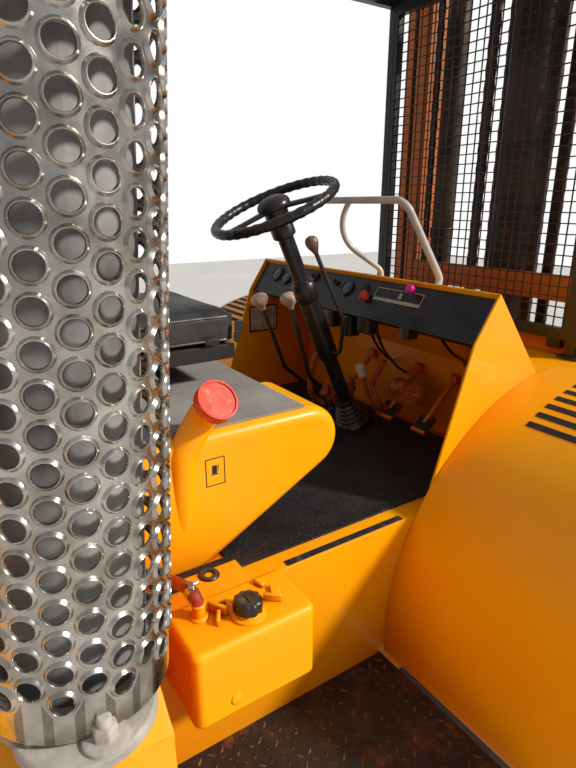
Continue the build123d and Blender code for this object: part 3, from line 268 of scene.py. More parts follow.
def rusty_red():
    return rusty_paint("rusty_red_rubber", srgb(196, 70, 26), srgb(140, 44, 18))


def black_paint():
    return (Surface("black_paint", coat=0.15)
            .rounded(0.003).bump(500.0, 0.00005, 2.0)
            .base(srgb(30, 28, 27), srgb(17, 16, 16), 5.0)
            .dust(DUST, 0.16)
            .edges(RUST, 0.003, 0.02, 0.14, 0.6)
            .roughness(0.3, 0.5, 9.0).done())


def step_paint():
    return (Surface("worn_step_paint", metallic=0.1)
            .rounded(0.002).bump(160.0, 0.0004, 6.0, 0.7)
            .base(srgb(44, 34, 30), srgb(24, 18, 16), 9.0)
            .patches(srgb(92, 50, 28), 8.0, 0.48, 0.66, 0.85)
            .patches(srgb(168, 108, 30), 5.0, 0.62, 0.72, 0.6)
            .edges(srgb(150, 110, 78), 0.004, 0.01, 0.12, 0.9)
            .roughness(0.4, 0.7, 12.0).done())


def grey_enamel():
    return (Surface("light_grey_enamel", coat=0.2)
            .bump(220.0, 0.00008, 3.0)
            .base(srgb(198, 192, 182), srgb(168, 160, 148), 10.0)
            .patches(RUST, 22.0, 0.6, 0.72, 0.7)
            .roughness(0.3, 0.5, 12.0).done())


def greasy_steel():
    return (Surface("greasy_steel", metallic=0.6)
            .rounded(0.002).bump(180.0, 0.0002, 5.0)
            .base(srgb(78, 62, 50), srgb(30, 24, 20), 6.0)
            .patches(RUST, 9.0, 0.5, 0.72, 0.8)
            .edges(srgb(170, 150, 130), 0.003, 0.01, 0.12, 0.8)
            .roughness(0.3, 0.6, 14.0).done())


def chrome_rod():
    return (Surface("polished_rod", metallic=1.0)
            .bump(300.0, 0.00003, 2.0, stretch=(1, 1, 0.05))
            .base(srgb(196, 192, 186), srgb(160, 155, 150), 8.0)
            .patches(GRIME, 6.0, 0.6, 0.8, 0.6)
            .roughness(0.08, 0.25, 20.0).done())


def guard_steel():
    return (Surface("stainless_sheet", metallic=1.0)
            .bump(260.0, 0.00006, 3.0)
            .base(srgb(204, 199, 191), srgb(160, 154, 145), 24.0, 0.35, 0.65)
            .patches(srgb(120, 96, 66), 16.0, 0.52, 0.72, 0.55, 120.0)
            .roughness(0.16, 0.38, 40.0).done())


def silencer_steel():
    return (Surface("hot_silencer_steel", metallic=0.35)
            .bump(120.0, 0.0003, 5.0)
            .base(srgb(186, 182, 178), srgb(88, 85, 83), 9.0)
            .patches(RUST, 12.0, 0.56, 0.74, 0.35)
            .roughness(0.45, 0.7, 12.0).done())


def cast_iron():
    return (Surface("dusty_cast_iron", metallic=0.1)
            .rounded(0.004).bump(150.0, 0.0006, 5.0, 0.7)
            .base(srgb(206, 198, 186), srgb(140, 132, 122), 14.0)
            .patches(RUST, 20.0, 0.55, 0.75, 0.5)
            .roughness(0.6, 0.85, 20.0).done())


def tyre_rubber():
    return (Surface("tyre_rubber", specular=0.35)
            .rounded(0.004).bump(90.0, 0.0004, 5.0)
            .base(srgb(40, 38, 37), srgb(22, 21, 21), 7.0)
            .patches(DUST, 3.0, 0.45, 0.75, 0.4)
            .dust(DUST, 0.3)
            .roughness(0.6, 0.85, 15.0).done())


def grey_rubber():
    return (Surface("grey_rubber_mat", specular=0.35)
            .bump(60.0, 0.0004, 6.0, 0.7).bump(900.0, 0.00012, 2.0)
            .base(srgb(164, 157, 149), srgb(128, 123, 118), 5.0)
            .patches(srgb(142, 134, 124), 4.0, 0.48, 0.72, 0.6, 30.0)
            .patches(GRIME, 7.0, 0.58, 0.75, 0.5)
            .roughness(0.55, 0.8, 8.0).done())


def floor_rubber():
    return (Surface("speckled_floor_mat", specular=0.4)
            .bump(300.0, 0.0004, 5.0, 0.75).bump(1400.0, 0.0002, 2.0)
            .base(srgb(34, 33, 33), srgb(20, 19, 20), 8.0)
            .patches(srgb(120, 116, 112), 160.0, 0.58, 0.66, 0.8, 500.0)
            .patches(srgb(70, 62, 56), 3.0, 0.5, 0.7, 0.5)
            .roughness(0.45, 0.75, 14.0).done())


def grip_strip():
    return (Surface("anti_slip_strip", specular=0.4)
            .bump(900.0, 0.0004, 3.0, 0.8)
            .base(srgb(44, 42, 41), srgb(24, 23, 23), 40.0)
            .patches(DUST, 20.0, 0.55, 0.75, 0.35)
            .roughness(0.6, 0.85, 40.0).done())


def black_vinyl():
    return (Surface("black_vinyl")
            .bump(520.0, 0.00012, 4.0).bump(14.0, 0.0012, 3.0)
            .base(srgb(58, 55, 54), srgb(34, 32, 32), 7.0)
            .patches(srgb(110, 104, 98), 5.0, 0.52, 0.74, 0.35)
            .roughness(0.32, 0.5, 22.0).done())


def black_plastic():
    return (Surface("black_moulded_plastic")
            .rounded(0.002).bump(700.0, 0.00008, 3.0)
            .base(srgb(30, 28, 28), srgb(19, 18, 18), 9.0)
            .dust(srgb(128, 112, 96), 0.22)
            .roughness(0.24, 0.42, 18.0).done())


def brown_knob():
    return (Surface("worn_brown_knob")
            .bump(200.0, 0.0002, 4.0)
            .base(srgb(150, 120, 96), srgb(96, 72, 56), 30.0)
            .patches(srgb(60, 44, 34), 26.0, 0.5, 0.68, 0.8)
            .roughness(0.3, 0.5, 30.0).done())


def pale_knob():
    return (Surface("pale_worn_knob")
            .bump(160.0, 0.0003, 5.0)
            .base(srgb(204, 178, 156), srgb(160, 132, 110), 26.0)
            .patches(srgb(84, 62, 48), 30.0, 0.54, 0.7, 0.7)
            .roughness(0.35, 0.6, 30.0).done())


def magenta_knob():
    return (Surface("magenta_knob")
            .bump(220.0, 0.00008, 3.0)
            .base(srgb(226, 40, 150), srgb(180, 24, 116), 30.0)
            .roughness(0.25, 0.45, 30.0).done())


def red_cap():
    return (Surface("scuffed_red_cap")
            .rounded(0.002).bump(120.0, 0.0004, 5.0, 0.7)
            .base(srgb(222, 66, 26), srgb(196, 44, 16), 24.0)
            .patches(srgb(240, 146, 92), 30.0, 0.5, 0.66, 0.85, 110.0)
            .roughness(0.4, 0.65, 20.0).done())


def lamp_glass():
    return (Surface("ribbed_lamp_glass", coat=0.8, coat_rough=0.04)
            .bump(90.0, 0.0006, 1.0, stretch=(1, 1, 0.1))
            .base(srgb(216, 218, 214), srgb(178, 182, 180), 14.0)
            .roughness(0.1, 0.25, 20.0).done())


def red_lens():
    return (Surface("red_lens", coat=0.8, coat_rough=0.05)
            .bump(120.0, 0.0005, 1.0)
            .base(srgb(170, 22, 16), srgb(128, 12, 10), 18.0)
            .roughness(0.12, 0.3, 20.0).done())


def dial_face():
    return (Surface("dial_face", coat=0.6, coat_rough=0.05)
            .bump(300.0, 0.00003, 2.0)
            .base(srgb(34, 34, 40), srgb(20, 20, 24), 60.0)
            .patches(srgb(190, 190, 186), 160.0, 0.6, 0.64, 0.8, 300.0)
            .roughness(0.12, 0.3, 30.0).done())


def bare_label():
    return (Surface("bare_label", specular=0.4)
            .bump(200.0, 0.00006, 3.0)
            .base(srgb(196, 186, 170), srgb(150, 138, 122), 24.0)
            .patches(GRIME, 18.0, 0.52, 0.7, 0.6)
            .roughness(0.4, 0.65, 20.0).done())


def pale_floor():
    return (Surface("pale_floor")
            .base(srgb(214, 212, 208), srgb(204, 202, 198), 0.8)
            .roughness(0.6, 0.8, 3.0).done())


YELLOW = yellow_paint()
WORN = worn_yellow()
ORANGE = mast_orange()
RUSTY_ORANGE = rusty_orange()
RUSTY_RED = rusty_red()
BLACK = black_paint()
STEP = step_paint()
ENAMEL = grey_enamel()
GREASY = greasy_steel()
ROD = chrome_rod()
STAINLESS = guard_steel()
SILENCER = silencer_steel()
CAST = cast_iron()
RUBBER = tyre_rubber()
GREY_MAT = grey_rubber()
FLOOR_MAT = floor_rubber()
GRIP = grip_strip()
VINYL = black_vinyl()
PLASTIC = black_plastic()
KNOB = brown_knob()
PALE_KNOB = pale_knob()
MAGENTA = magenta_knob()
RED_CAP = red_cap()
GLASS = lamp_glass()
RED_LENS = red_lens()
DIAL = dial_face()
LABEL = bare_label()

CAD_FINISH = (
    (YELLOW, "chassis_frame cowl fuel_tank hood counterweight fenders side_bodies reservoir"),
    (WORN, "pedals front_rims_right front_rims_left rear_rim_right rear_rim_left"),
    (ORANGE, "mast_outer mast_inner"),
    (BLACK, "drive_axle steer_axle knuckle_right knuckle_left control_levers seat_base radiator_grille"),
    (BLACK, "overhead_guard front_screen carriage tilt_barrel_right tilt_barrel_left"),
    (GREASY, "engine_block tow_pin forks side_jacks side_chains centre_jack crosshead lift_chains"),
    (ROD, "side_rods tilt_rod_right tilt_rod_left"),
    (PLASTIC, "dash_panel steering_column steering_wheel reservoir_cap"),
    (RUBBER, "front_tyres_right front_tyres_left rear_tyre_right rear_tyre_left"),
    (VINYL, "seat_cushion seat_back"),
    (GREY_MAT, "tank_mat hood_mat"),
    (FLOOR_MAT, "floor_mat"),
    (STEP, "steps"),
    (ENAMEL, "grab_handle"),
    (RED_CAP, "fuel_cap"),
    (CAST, "stack_foot"),
    (SILENCER, "silencer"),
    (STAINLESS, "stack_guard"),
    (GLASS, "headlamps"),
    (RED_LENS, "tail_lamps"),
)
for material, names in CAD_FINISH:
    for name in names.split():
        NODES[name].data.materials.clear()
        NODES[name].data.materials.append(material)


# Mesh helpers

def in_scene(name, data):
    obj = bpy.data.objects.new(name, data)
    bpy.context.scene.collection.objects.link(obj)
    return obj


def mesh_object(name, points, faces, material, body, smooth=True):
    """A mesh piece that rides on a body and takes the material it is given."""
    mesh = bpy.data.meshes.new(name)
    mesh.from_pydata([tuple(p) for p in points], [], faces)
    mesh.validate()
    bm = bmesh.new()
    bm.from_mesh(mesh)
    bmesh.ops.recalc_face_normals(bm, faces=bm.faces)
    bm.to_mesh(mesh)
    bm.free()
    mesh.materials.append(material)
    for polygon in mesh.polygons:
        polygon.use_smooth = smooth
    if smooth:
        mesh.set_sharp_from_angle(angle=math.radians(38))
    obj = in_scene(name, mesh)
    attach(obj, body)
    return obj


def placed(origin, up=Z_AXIS, along=X_AXIS):
    """A local frame on the truck: its own x, y and z turned into a point of the scene."""
    z = Vector(up).normalized()
    x = Vector(along)
    x = (x - z * x.dot(z)).normalized()
    y = z.cross(x)
    base = Vector(origin)
    return lambda a, b, c: at(*(base + x * a + y * b + z * c))


def level(x, y, z, turn):
    """A local frame that lies flat, turned about the upright."""
    return placed((x, y, z), Z_AXIS, (math.cos(turn), math.sin(turn), 0))


def circle(radius, steps, phase=0.0):
    """Points evenly round a circle, the first one phase steps on."""
    turns = [2 * math.pi * (k + phase) / steps for k in range(steps)]
    return [(radius * math.cos(turn), radius * math.sin(turn)) for turn in turns]


def curved(points, steps=6):
    """A smooth line through points."""
    line = []
    p = [Vector(q) for q in points]
    p = [p[0] * 2 - p[1]] + p + [p[-1] * 2 - p[-2]]
    for i in range(1, len(p) - 2):
        for k in range(steps):
            t = k / steps
            line.append(0.5 * ((2 * p[i]) + (p[i + 1] - p[i - 1]) * t
                               + (2 * p[i - 1] - 5 * p[i] + 4 * p[i + 1] - p[i + 2]) * t * t
                               + (3 * p[i] - p[i - 1] - 3 * p[i + 1] + p[i + 2]) * t ** 3))
    line.append(p[-2])
    return line


class Form:
    """Points and faces gathered for one piece, all sizes in millimetres."""

    def __init__(self):
        self.points = []
        self.faces = []

    def ring(self, points):
        """A closed row of new points, given back as their numbers."""
        start = len(self.points)
        self.points += points
        return list(range(start, len(self.points)))

    def skin(self, first, second):
        """Quads between two rings of equal count."""
        for k in range(len(first)):
            m = (k + 1) % len(first)
            self.faces.append((first[k], first[m], second[m], second[k]))

    def stack(self, rings, capped=True, closed=False):
        """Rings of equal count joined one to the next."""
        rings = [self.ring(points) for points in rings]
        for first, second in zip(rings, rings[1:]):
            self.skin(first, second)
        if closed:
            self.skin(rings[-1], rings[0])
        if capped:
            self.faces.append(tuple(reversed(rings[0])))
            self.faces.append(tuple(rings[-1]))
        return self

    def turned(self, place, profile, sides=20, capped=True):
        """A round shape about the frame's z axis, from (radius, height) pairs."""
        return self.stack([[place(x, y, height) for x, y in circle(radius, sides)]
                           for radius, height in profile], capped)

    def block(self, place, size, corner=2.0, edge=1.0, steps=2):
        """A box with rounded corners in plan and softened upper and lower edges."""
        height = size[2]
        profile = ((edge, 0), (0, edge), (0, height - edge), (edge, height))
        return self.padded_block(place, size, corner, profile, steps)

    def padded_block(self, place, size, corner, profile, steps):
        """A box with rounded corners, from (inset, height) pairs."""
        rings = []
        for inset, height in profile:
            half_wide, half_deep = size[0] / 2 - inset, size[1] / 2 - inset
            r = max(min(corner - inset * 0.5, half_wide, half_deep), 0.2)
            ring = []
            for quarter, (sx, sy) in enumerate(((1, 1), (-1, 1), (-1, -1), (1, -1))):
                for k in range(steps + 1):
                    angle = math.pi / 2 * (quarter + k / steps)
                    ring.append(place(sx * (half_wide - r) + r * math.cos(angle),
                                      sy * (half_deep - r) + r * math.sin(angle), height))
            rings.append(ring)
        return self.stack(rings)

    def tube(self, path, radius, sides=10, closed=False):
        """A round bar along a line of points, with one radius or one at each point."""
        line = [Vector(p) for p in path]
        rings = []
        normal = None
        for i, here in enumerate(line):
            before = line[i - 1] if i or closed else here
            after = line[(i + 1) % len(line)] if i + 1 < len(line) or closed else here
            tangent = (after - before).normalized()
            if normal is None:
                normal = tangent.orthogonal().normalized()
            normal = (normal - tangent * normal.dot(tangent)).normalized()
            other = tangent.cross(normal)
            r = radius[i] if isinstance(radius, list) else radius
            rings.append([at(*(here + normal * a + other * b)) for a, b in circle(r, sides)])
        return self.stack(rings, not closed, closed)

    def nut(self, place, width, height):
        return self.turned(place, ((width * 0.5, 0), (width * 0.5, height * 0.85), (width * 0.43, height)), 6)

    def piece(self, name, material, slot, body="chassis", smooth=True):
        return mesh_object(name, self.points, self.faces, material, body, smooth)


# The round heat guard: a sheet of staggered holes, each with a raised rolled lip

GUARD_FOOT = Vector((960, -1518, 1149))
GUARD_LEAN = math.radians(3.6)
GUARD_R = 103.2
GUARD_TALL = 1101
GUARD_ROUND = 2 * math.pi * GUARD_R
COLUMNS = 22
COLUMN_START = -0.054
COLUMN_PITCH = GUARD_ROUND / COLUMNS
ROW_PITCH = 34.47
FIRST_ROW = 49.8
HEM = 34
HEM_FOLD = 20
ROWS = int((GUARD_TALL - FIRST_ROW - HEM) / ROW_PITCH - 0.5) + 1
LIP = ((15.4, 0.0), (14.6, 0.9), (13.5, 2.4), (12.6, 3.2), (11.9, 3.1), (11.4, 2.2), (11.4, -0.6))
LIP_STEPS = 18


def on_guard(along, up, out=0.0):
    """A point of the leaning guard, from its way round, its height and its height off the sheet."""
    angle = along / GUARD_R + COLUMN_START
    x, y = (GUARD_R + out) * math.cos(angle), (GUARD_R + out) * math.sin(angle)
    return at(GUARD_FOOT.x + x, GUARD_FOOT.y + y * math.cos(GUARD_LEAN) + up * math.sin(GUARD_LEAN),
              GUARD_FOOT.z - y * math.sin(GUARD_LEAN) + up * math.cos(GUARD_LEAN))


def hexagon():
    """A cell's outline about its hole, with corners along the row and flats above and below."""
    half_sector = math.pi / 6
    widen = COLUMN_PITCH / (ROW_PITCH * math.cos(half_sector))
    outline = []
    for k in range(LIP_STEPS):
        angle = 2 * math.pi * k / LIP_STEPS
        sector = (angle + half_sector) % (2 * half_sector) - half_sector
        reach = ROW_PITCH / 2 / math.cos(half_sector - abs(sector))
        outline.append((reach * math.cos(angle) * widen, reach * math.sin(angle)))
    return outline


def heat_guard():
    guard = Form()
    shared, way = {}, {}
    low_edge, high_edge = [], []
    cell = hexagon()
    half = LIP_STEPS // 2

    def corner(along, up):
        """The number of a cell's outline point, which its neighbours use too."""
        key = (round((along % GUARD_ROUND) * 2) % round(GUARD_ROUND * 2), round(up * 2))
        if key not in shared:
            shared[key] = guard.ring([on_guard(along, up)])[0]
        way[shared[key]] = along
        return shared[key]

    for column in range(COLUMNS):
        along = COLUMN_PITCH * column
        for row in range(ROWS):
            up = FIRST_ROW + ROW_PITCH * (row + (0.0 if column % 2 else 0.5))
            outline = [corner(along + x, up + z) for x, z in cell]
            outer = outline
            for radius, out in LIP:
                inner = guard.ring([on_guard(along + x, up + z, out) for x, z in circle(radius, LIP_STEPS)])
                guard.skin(outer, inner)
                outer = inner
            if row == 0:
                low_edge += outline[half:] + outline[:1]
            if row == ROWS - 1:
                high_edge += outline[half::-1]
    low_levels = (FIRST_ROW - HEM_FOLD, FIRST_ROW - HEM, 0.0)
    high_levels = (FIRST_ROW + ROW_PITCH * (ROWS - 0.5) + HEM_FOLD, GUARD_TALL)
    for edge, levels in ((low_edge, low_levels), (high_edge, high_levels)):
        line = [index for index, before in zip(edge, edge[-1:] + edge) if index != before]
        above = line
        for height in levels:
            below = guard.ring([on_guard(way[index], height) for index in line])
            guard.skin(above, below)
            above = below
    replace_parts(guard.piece("perforated_guard", STAINLESS, "stack_steel"), "stack_guard")


# Seat: closed soft forms, puffed out by a short cloth simulation

SEAT_WIDE = 450
SEAT_FRONT = -894
SEAT_DEEP = 480
SEAT_TOP = 1408
CUSHION_THICK = 110
BACK_TALL = 432
BACK_GAP = 8
BACK_REAR_Y = SEAT_FRONT - SEAT_DEEP - 53.7
CLOTH_FRAMES = 20
PAD_VOXEL = 0.006


def apply_all(obj):
    """The mesh as its modifiers leave it, with none kept."""
    graph = bpy.context.evaluated_depsgraph_get()
    mesh = bpy.data.meshes.new_from_object(obj.evaluated_get(graph), depsgraph=graph)
    obj.modifiers.clear()
    old = obj.data
    obj.data = mesh
    bpy.data.meshes.remove(old)


def puff(pad):
    """Air pressure swells the pad's skin for a few frames."""
    cloth = pad.modifiers.new("pressure", "CLOTH")
    cloth.settings.use_pressure = True
    cloth.settings.uniform_pressure_force = 4.0
    cloth.settings.effector_weights.gravity = 0.0
    cloth.point_cache.frame_start = 1
    cloth.point_cache.frame_end = CLOTH_FRAMES
    for frame_number in range(1, CLOTH_FRAMES + 1):
        bpy.context.scene.frame_set(frame_number)
    apply_all(pad)
    bpy.context.scene.frame_set(1)


def soft_form(name, place, size, corner, profile, node, reach, floor_z=None):
    """A pad that swells by reach at most, in metres, and stays above what it rests on."""
    form = Form().padded_block(place, size, corner, profile, 6)
    pad = form.piece(name, VINYL, "seat_vinyl", "hood")
    remesh = pad.modifiers.new("even", "REMESH")
    remesh.mode = "VOXEL"
    remesh.voxel_size = PAD_VOXEL
    apply_all(pad)
    rest = [vertex.co.copy() for vertex in pad.data.vertices]
    puff(pad)
    for vertex, start in zip(pad.data.vertices, rest):
        move = vertex.co - start
        if move.length > reach:
            vertex.co = start + move * (reach / move.length)
        if floor_z is not None and vertex.co.z < floor_z:
            vertex.co.z = floor_z
    smooth = pad.modifiers.new("fine", "SUBSURF")
    smooth.levels = 1
    smooth.render_levels = 1
    apply_all(pad)
    for polygon in pad.data.polygons:
        polygon.use_smooth = True
    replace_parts(pad, node)
    return pad


def piping(name, pad, height, half_wide, half_deep, centre_y, radius):
    """A sewn cord round the pad at one height."""
    tree = BVHTree.FromObject(pad, bpy.context.evaluated_depsgraph_get())
    line = []
    for x, y in circle(1, 120):
        toward = Vector((x, y, 0))
        away = min(half_wide / max(abs(toward.x), 1e-6), half_deep / max(abs(toward.y), 1e-6)) + 60
        start = at(toward.x * away, centre_y + toward.y * away, height)
        hit = tree.ray_cast(start, -toward)[0]
        if hit is not None:
            line.append((hit.x / MM, (hit.y - AXLE_Y) / MM, hit.z / MM))
    Form().tube(line, radius, 8, True).piece(name, VINYL, "seat_vinyl", "hood")


def seat_cushion():
    centre_y = SEAT_FRONT - SEAT_DEEP / 2
    low = SEAT_TOP - CUSHION_THICK
    profile = ((26, 4), (9, 8), (7, 20), (6, 48), (7, 70), (12, 78), (30, 86), (70, 92), (120, 95), (170, 96))
    cushion = soft_form("soft_seat_cushion", placed((0, centre_y, low)), (SEAT_WIDE, SEAT_DEEP), 34,
                        profile, "seat_cushion", 0.008, (low + 0.6) * MM)
    piping("seat_piping", cushion, low + 75, SEAT_WIDE / 2, SEAT_DEEP / 2, centre_y, 4.2)
    piping("seat_lower_piping", cushion, low + 13, SEAT_WIDE / 2, SEAT_DEEP / 2, centre_y, 3.4)


def seat_back():
    place = placed((0, BACK_REAR_Y, SEAT_TOP + BACK_GAP + BACK_TALL / 2), Y_AXIS)
    profile = ((26, 3), (9, 6), (7, 20), (6, 44), (8, 62), (14, 70), (34, 78), (80, 83), (140, 85))
    soft_form("soft_seat_back", place, (SEAT_WIDE, BACK_TALL), 60, profile, "seat_back", 0.007)


def seat_painted_shadow():
    """Painted shadow: black patches on the cushion's right side, where the shadow of a hydraulic lever's knob
    and rod falls.
    """
    shadow_marks = Form()
    for x, y, z, wide, deep in ((224.5, -905, 1345, 26, 34), (224.5, -912, 1318, 18, 30),
                                (225, -985, 1312, 44, 16)):
        shadow_marks.block(placed((x, y, z), X_AXIS, Y_AXIS), (wide, deep, 3.0), 8, 0.8)
    shadow_marks.piece("seat_painted_shadow", BLACK, "seat_vinyl", "hood")


# Tyres with tread bars, and the nuts of their wheels

BEAD_R = 254.6
TYRE_HALF = 120
TREAD_DEEP = 15
BAR_SECTIONS = ((8, 0.030, 0.6), (62, 0.0, 0.8), (94, -0.028, 1.6), (107, -0.046, 24), (110, -0.054, 44))
BAR_SLANT = 1.35
TYRE_STEPS = 72


def tyre_profile(radius):
    """The tyre's section from bead to bead, as (radius, way along the axle)."""
    ground = radius - TREAD_DEEP
    side = ((BEAD_R, 0.72), (BEAD_R + 8, 0.9), ((BEAD_R + radius - 34) / 2, 1.0), (radius - 50, 0.96),
            (radius - 30, 0.9), (ground, 0.74))
    return ([(r, -TYRE_HALF * share) for r, share in side] + [(ground + 1, 0)]
            + [(r, TYRE_HALF * share) for r, share in reversed(side)])


def tread_bar(form, place, radius, turn, side):
    """One bar of the tread, from the middle out over the shoulder."""
    rings = []
    for out, skew, drop in BAR_SECTIONS:
        top = radius - drop
        foot = top - (16 if out < 100 else 4)
        wide = 0.021 if out < 60 else 0.026
        ring = []
        for across, r in ((-wide, foot), (-wide * 0.84, top), (wide * 0.84, top), (wide, foot)):
            angle = turn + (skew + across) * BAR_SLANT
            ring.append(place(r * math.cos(angle), r * math.sin(angle), side * out))
        rings.append(ring)
    form.stack(rings)


def tread_tyre(name, node, body, hub, radius, places, bars):
    form = Form()
    for x in places:
        place = placed((x, *hub), X_AXIS, Y_AXIS)
        form.turned(place, tyre_profile(radius), TYRE_STEPS, False)
        for side in (-1, 1):
            for k in range(bars):
                turn = 2 * math.pi * (k + (0.5 if side > 0 else 0)) / bars
                tread_bar(form, place, radius, turn, side)
    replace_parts(form.piece(name, RUBBER, "tyre_rubber", body), node)


def wheel_nuts(name, body, hub, x_disc, x_hub, side):
    """Nuts with washers on the rim's disc, and a flange with small nuts on the hub."""
    form = Form()
    out = (side, 0, 0)
    for y, z in circle(150, 10):
        spot = (hub[0] + y, hub[1] + z)
        form.turned(placed((side * x_disc, *spot), out, Y_AXIS), ((21, 0), (21, 3), (19, 4)), 14)
        form.nut(placed((side * (x_disc + 3.5), *spot), out, Y_AXIS), 32, 22)
    flange = ((74, -1), (74, 6), (70, 9), (52, 10), (50, 14), (46, 15))
    form.turned(placed((side * x_hub, *hub), out, Y_AXIS), flange, 32)
    for y, z in circle(62, 6, 0.5):
        form.nut(placed((side * (x_hub + 8.5), hub[0] + y, hub[1] + z), out, Y_AXIS), 13, 7)
    form.piece(name, GREASY, "rim_paint", body)


def wheels():
    for side, sign in SIDES.items():
        front, rear = "front_wheel_" + side, "rear_wheel_" + side
        tread_tyre("front_treads_" + side, "front_tyres_" + side, front, FRONT_HUB, FRONT_TYRE_R,
                   [sign * x for x in FRONT_TYRE_X], 26)
        tread_tyre("rear_tread_" + side, "rear_tyre_" + side, rear, REAR_HUB, REAR_TYRE_R,
                   [sign * x for x in REAR_TYRE_X], 24)
        wheel_nuts("front_nuts_" + side, front, FRONT_HUB, 990, 1100, sign)
        wheel_nuts("rear_nuts_" + side, rear, REAR_HUB, 930, 985, sign)


# Dash

DIALS = ((-474, -339, 1378, 34), (-396, -344, 1370, 30), (-6, -342, 1374, 30))
IGNITION = (-214, -330, 1392)
PLATE_CENTRE = Vector((244, -341, 1376))
PLATE_WIDE = 206
PLATE_TALL = 44


def on_dash(x, y, z, lift=0.0):
    """A frame on the dash's sloping face."""
    return placed(Vector((x, y, z)) + DASH_UP * lift, DASH_UP)


def dash_dials():
    bezels, faces = Form(), Form()
    for x, y, z, r in (*DIALS, (*IGNITION, 20)):
        bezels.turned(on_dash(x, y, z, -2), ((r, 0), (r, 8), (r - 3, 11), (r - 7, 11), (r - 8, 7)), 28)
    bezels.piece("dash_bezels", PLASTIC, "dash_black")
    for x, y, z, r in DIALS:
        faces.turned(on_dash(x, y, z, 5), ((r - 8, 0), (r - 8, 1.5), (r - 10, 2.4)), 24)
    faces.piece("dash_dials", DIAL, "dash_black")


def dash_knobs():
    keys = Form()
    for spot in (IGNITION, (-77, -334, 1385), (-300, -336, 1382)):
        keys.turned(on_dash(*spot, 4), ((10, 0), (10, 5), (8, 7)), 16)
        keys.block(on_dash(*spot, 9), (5, 16, 12), 2, 1)
    keys.turned(on_dash(78, -338, 1379, -1), ((24, 0), (24, 4), (18, 12), (15, 14)), 20)
    keys.piece("dash_switches", GREASY, "lever_dark")
    red = Form().turned(on_dash(106, -352, 1358, -1), ((12, 0), (12, 8), (17, 12), (17, 22), (12, 27)), 18)
    red.piece("dash_red_knob", RED_CAP, "cap_red")
    pear = ((6, 0), (6, 14), (13, 18), (15, 26), (13, 34), (7, 37))
    pink = Form().turned(on_dash(303, -327, 1396), pear, 18)
    pink.piece("dash_magenta_knob", MAGENTA, "cap_red")


def dash_plate():
    """The heater's bare label: a frame, wider at its foot, round a small raised key."""
    rim = Form()

    def bar(across, rise, size, edge=0.4):
        spot = PLATE_CENTRE + Vector(X_AXIS) * across + DASH_RISE * rise + DASH_UP * 0.4
        rim.block(placed(spot, DASH_UP), size, 1, edge)

    bar(0, PLATE_TALL / 2, (PLATE_WIDE, 3, 1.6))
    bar(0, -PLATE_TALL / 2 + 5, (PLATE_WIDE, 11, 1.6))
    bar(-PLATE_WIDE / 2, 0, (3, PLATE_TALL, 1.6))
    bar(PLATE_WIDE / 2, 0, (3, PLATE_TALL, 1.6))
    bar(10, 4, (14, 20, 2.2))
    rim.piece("dash_plate_frame", LABEL, "dash_black")


def under_dash():
    """Boxes under the dash and three cables that run down from it."""
    boxes = Form()
    for x, y, z, wide, tall in ((142, -372, 1296, 60, 50), (60, -374, 1292, 40, 70),
                                (-60, -370, 1296, 70, 60), (330, -372, 1298, 44, 34)):
        boxes.block(placed((x, y, z), (0, 0, -1)), (wide, 46, tall), 6, 2)
    boxes.piece("dash_boxes", PLASTIC, "dash_black")
    cables = Form()
    for path in (((142, -372, 1300), (100, -300, 1200), (40, -180, 1110), (-11, -92, 1071)),
                 ((170, -372, 1300), (140, -300, 1190), (90, -180, 1090), (60, -92, 1040)),
                 ((440, -372, 1310), (420, -280, 1230), (380, -160, 1170), (331, -92, 1133))):
        cables.tube(curved(path), 5, 8)
    cables.piece("dash_cables", PLASTIC, "dash_black")


# Levers, column and steering wheel

def lever_knobs():
    pear = ((8, -34), (12, -24), (18, -12), (21, 0), (20.5, 9), (16, 17), (8, 21), (3, 22))
    forward = Form().turned(placed((80, -562, 1543), (-0.108, -0.403, 0.909)), pear, 22)
    forward.piece("direction_knob", KNOB, "lever_dark")
    mushroom = ((9, -34), (12, -25), (21, -15), (30, -3), (32, 8), (29, 17), (20, 24), (8, 27), (3, 27.5))
    heads = Form()
    for point, axis in (((-200, -589, 1325), (0.018, -0.381, 0.924)),
                        ((-100, -529, 1337), (-0.016, -0.287, 0.958))):
        heads.turned(placed(point, axis), mushroom, 24)
    heads.piece("hydraulic_knobs", PALE_KNOB, "lever_dark")


def rubber_boots():
    """Folded boots at the feet of the two hydraulic levers and of the column."""
    boots = Form()
    profile = [(34, 0), (34, 5)]
    for k in range(4):
        profile += [(28 - 3 * k, 8 + 9 * k), (22 - 3 * k, 12 + 9 * k)]
    for x in (-200, -90):
        boots.turned(placed((x, -330, MAT_TOP)), profile + [(9, 46)], 20)
    profile = [(74, -4), (74, 10)]
    for k in range(5):
        profile += [(62 - 5 * k, 18 + 16 * k), (52 - 5 * k, 26 + 16 * k)]
    boots.turned(placed((0, -306, 862), COLUMN_AXIS), profile + [(36.5, 104)], 28)
    boots.piece("rubber_boots", PLASTIC, "mat_black")


def column_collars():
    collar = Form()
    for down, profile in ((98, ((34, 0), (38, 4), (38, 40), (36, 44), (33, 60))),
                          (330, ((36, 0), (40, 6), (40, 62), (36, 68)))):
        collar.turned(placed(WHEEL_CENTRE - COLUMN_AXIS * down, COLUMN_AXIS), profile, 28)
    collar.piece("column_collar", PLASTIC, "wheel_black")


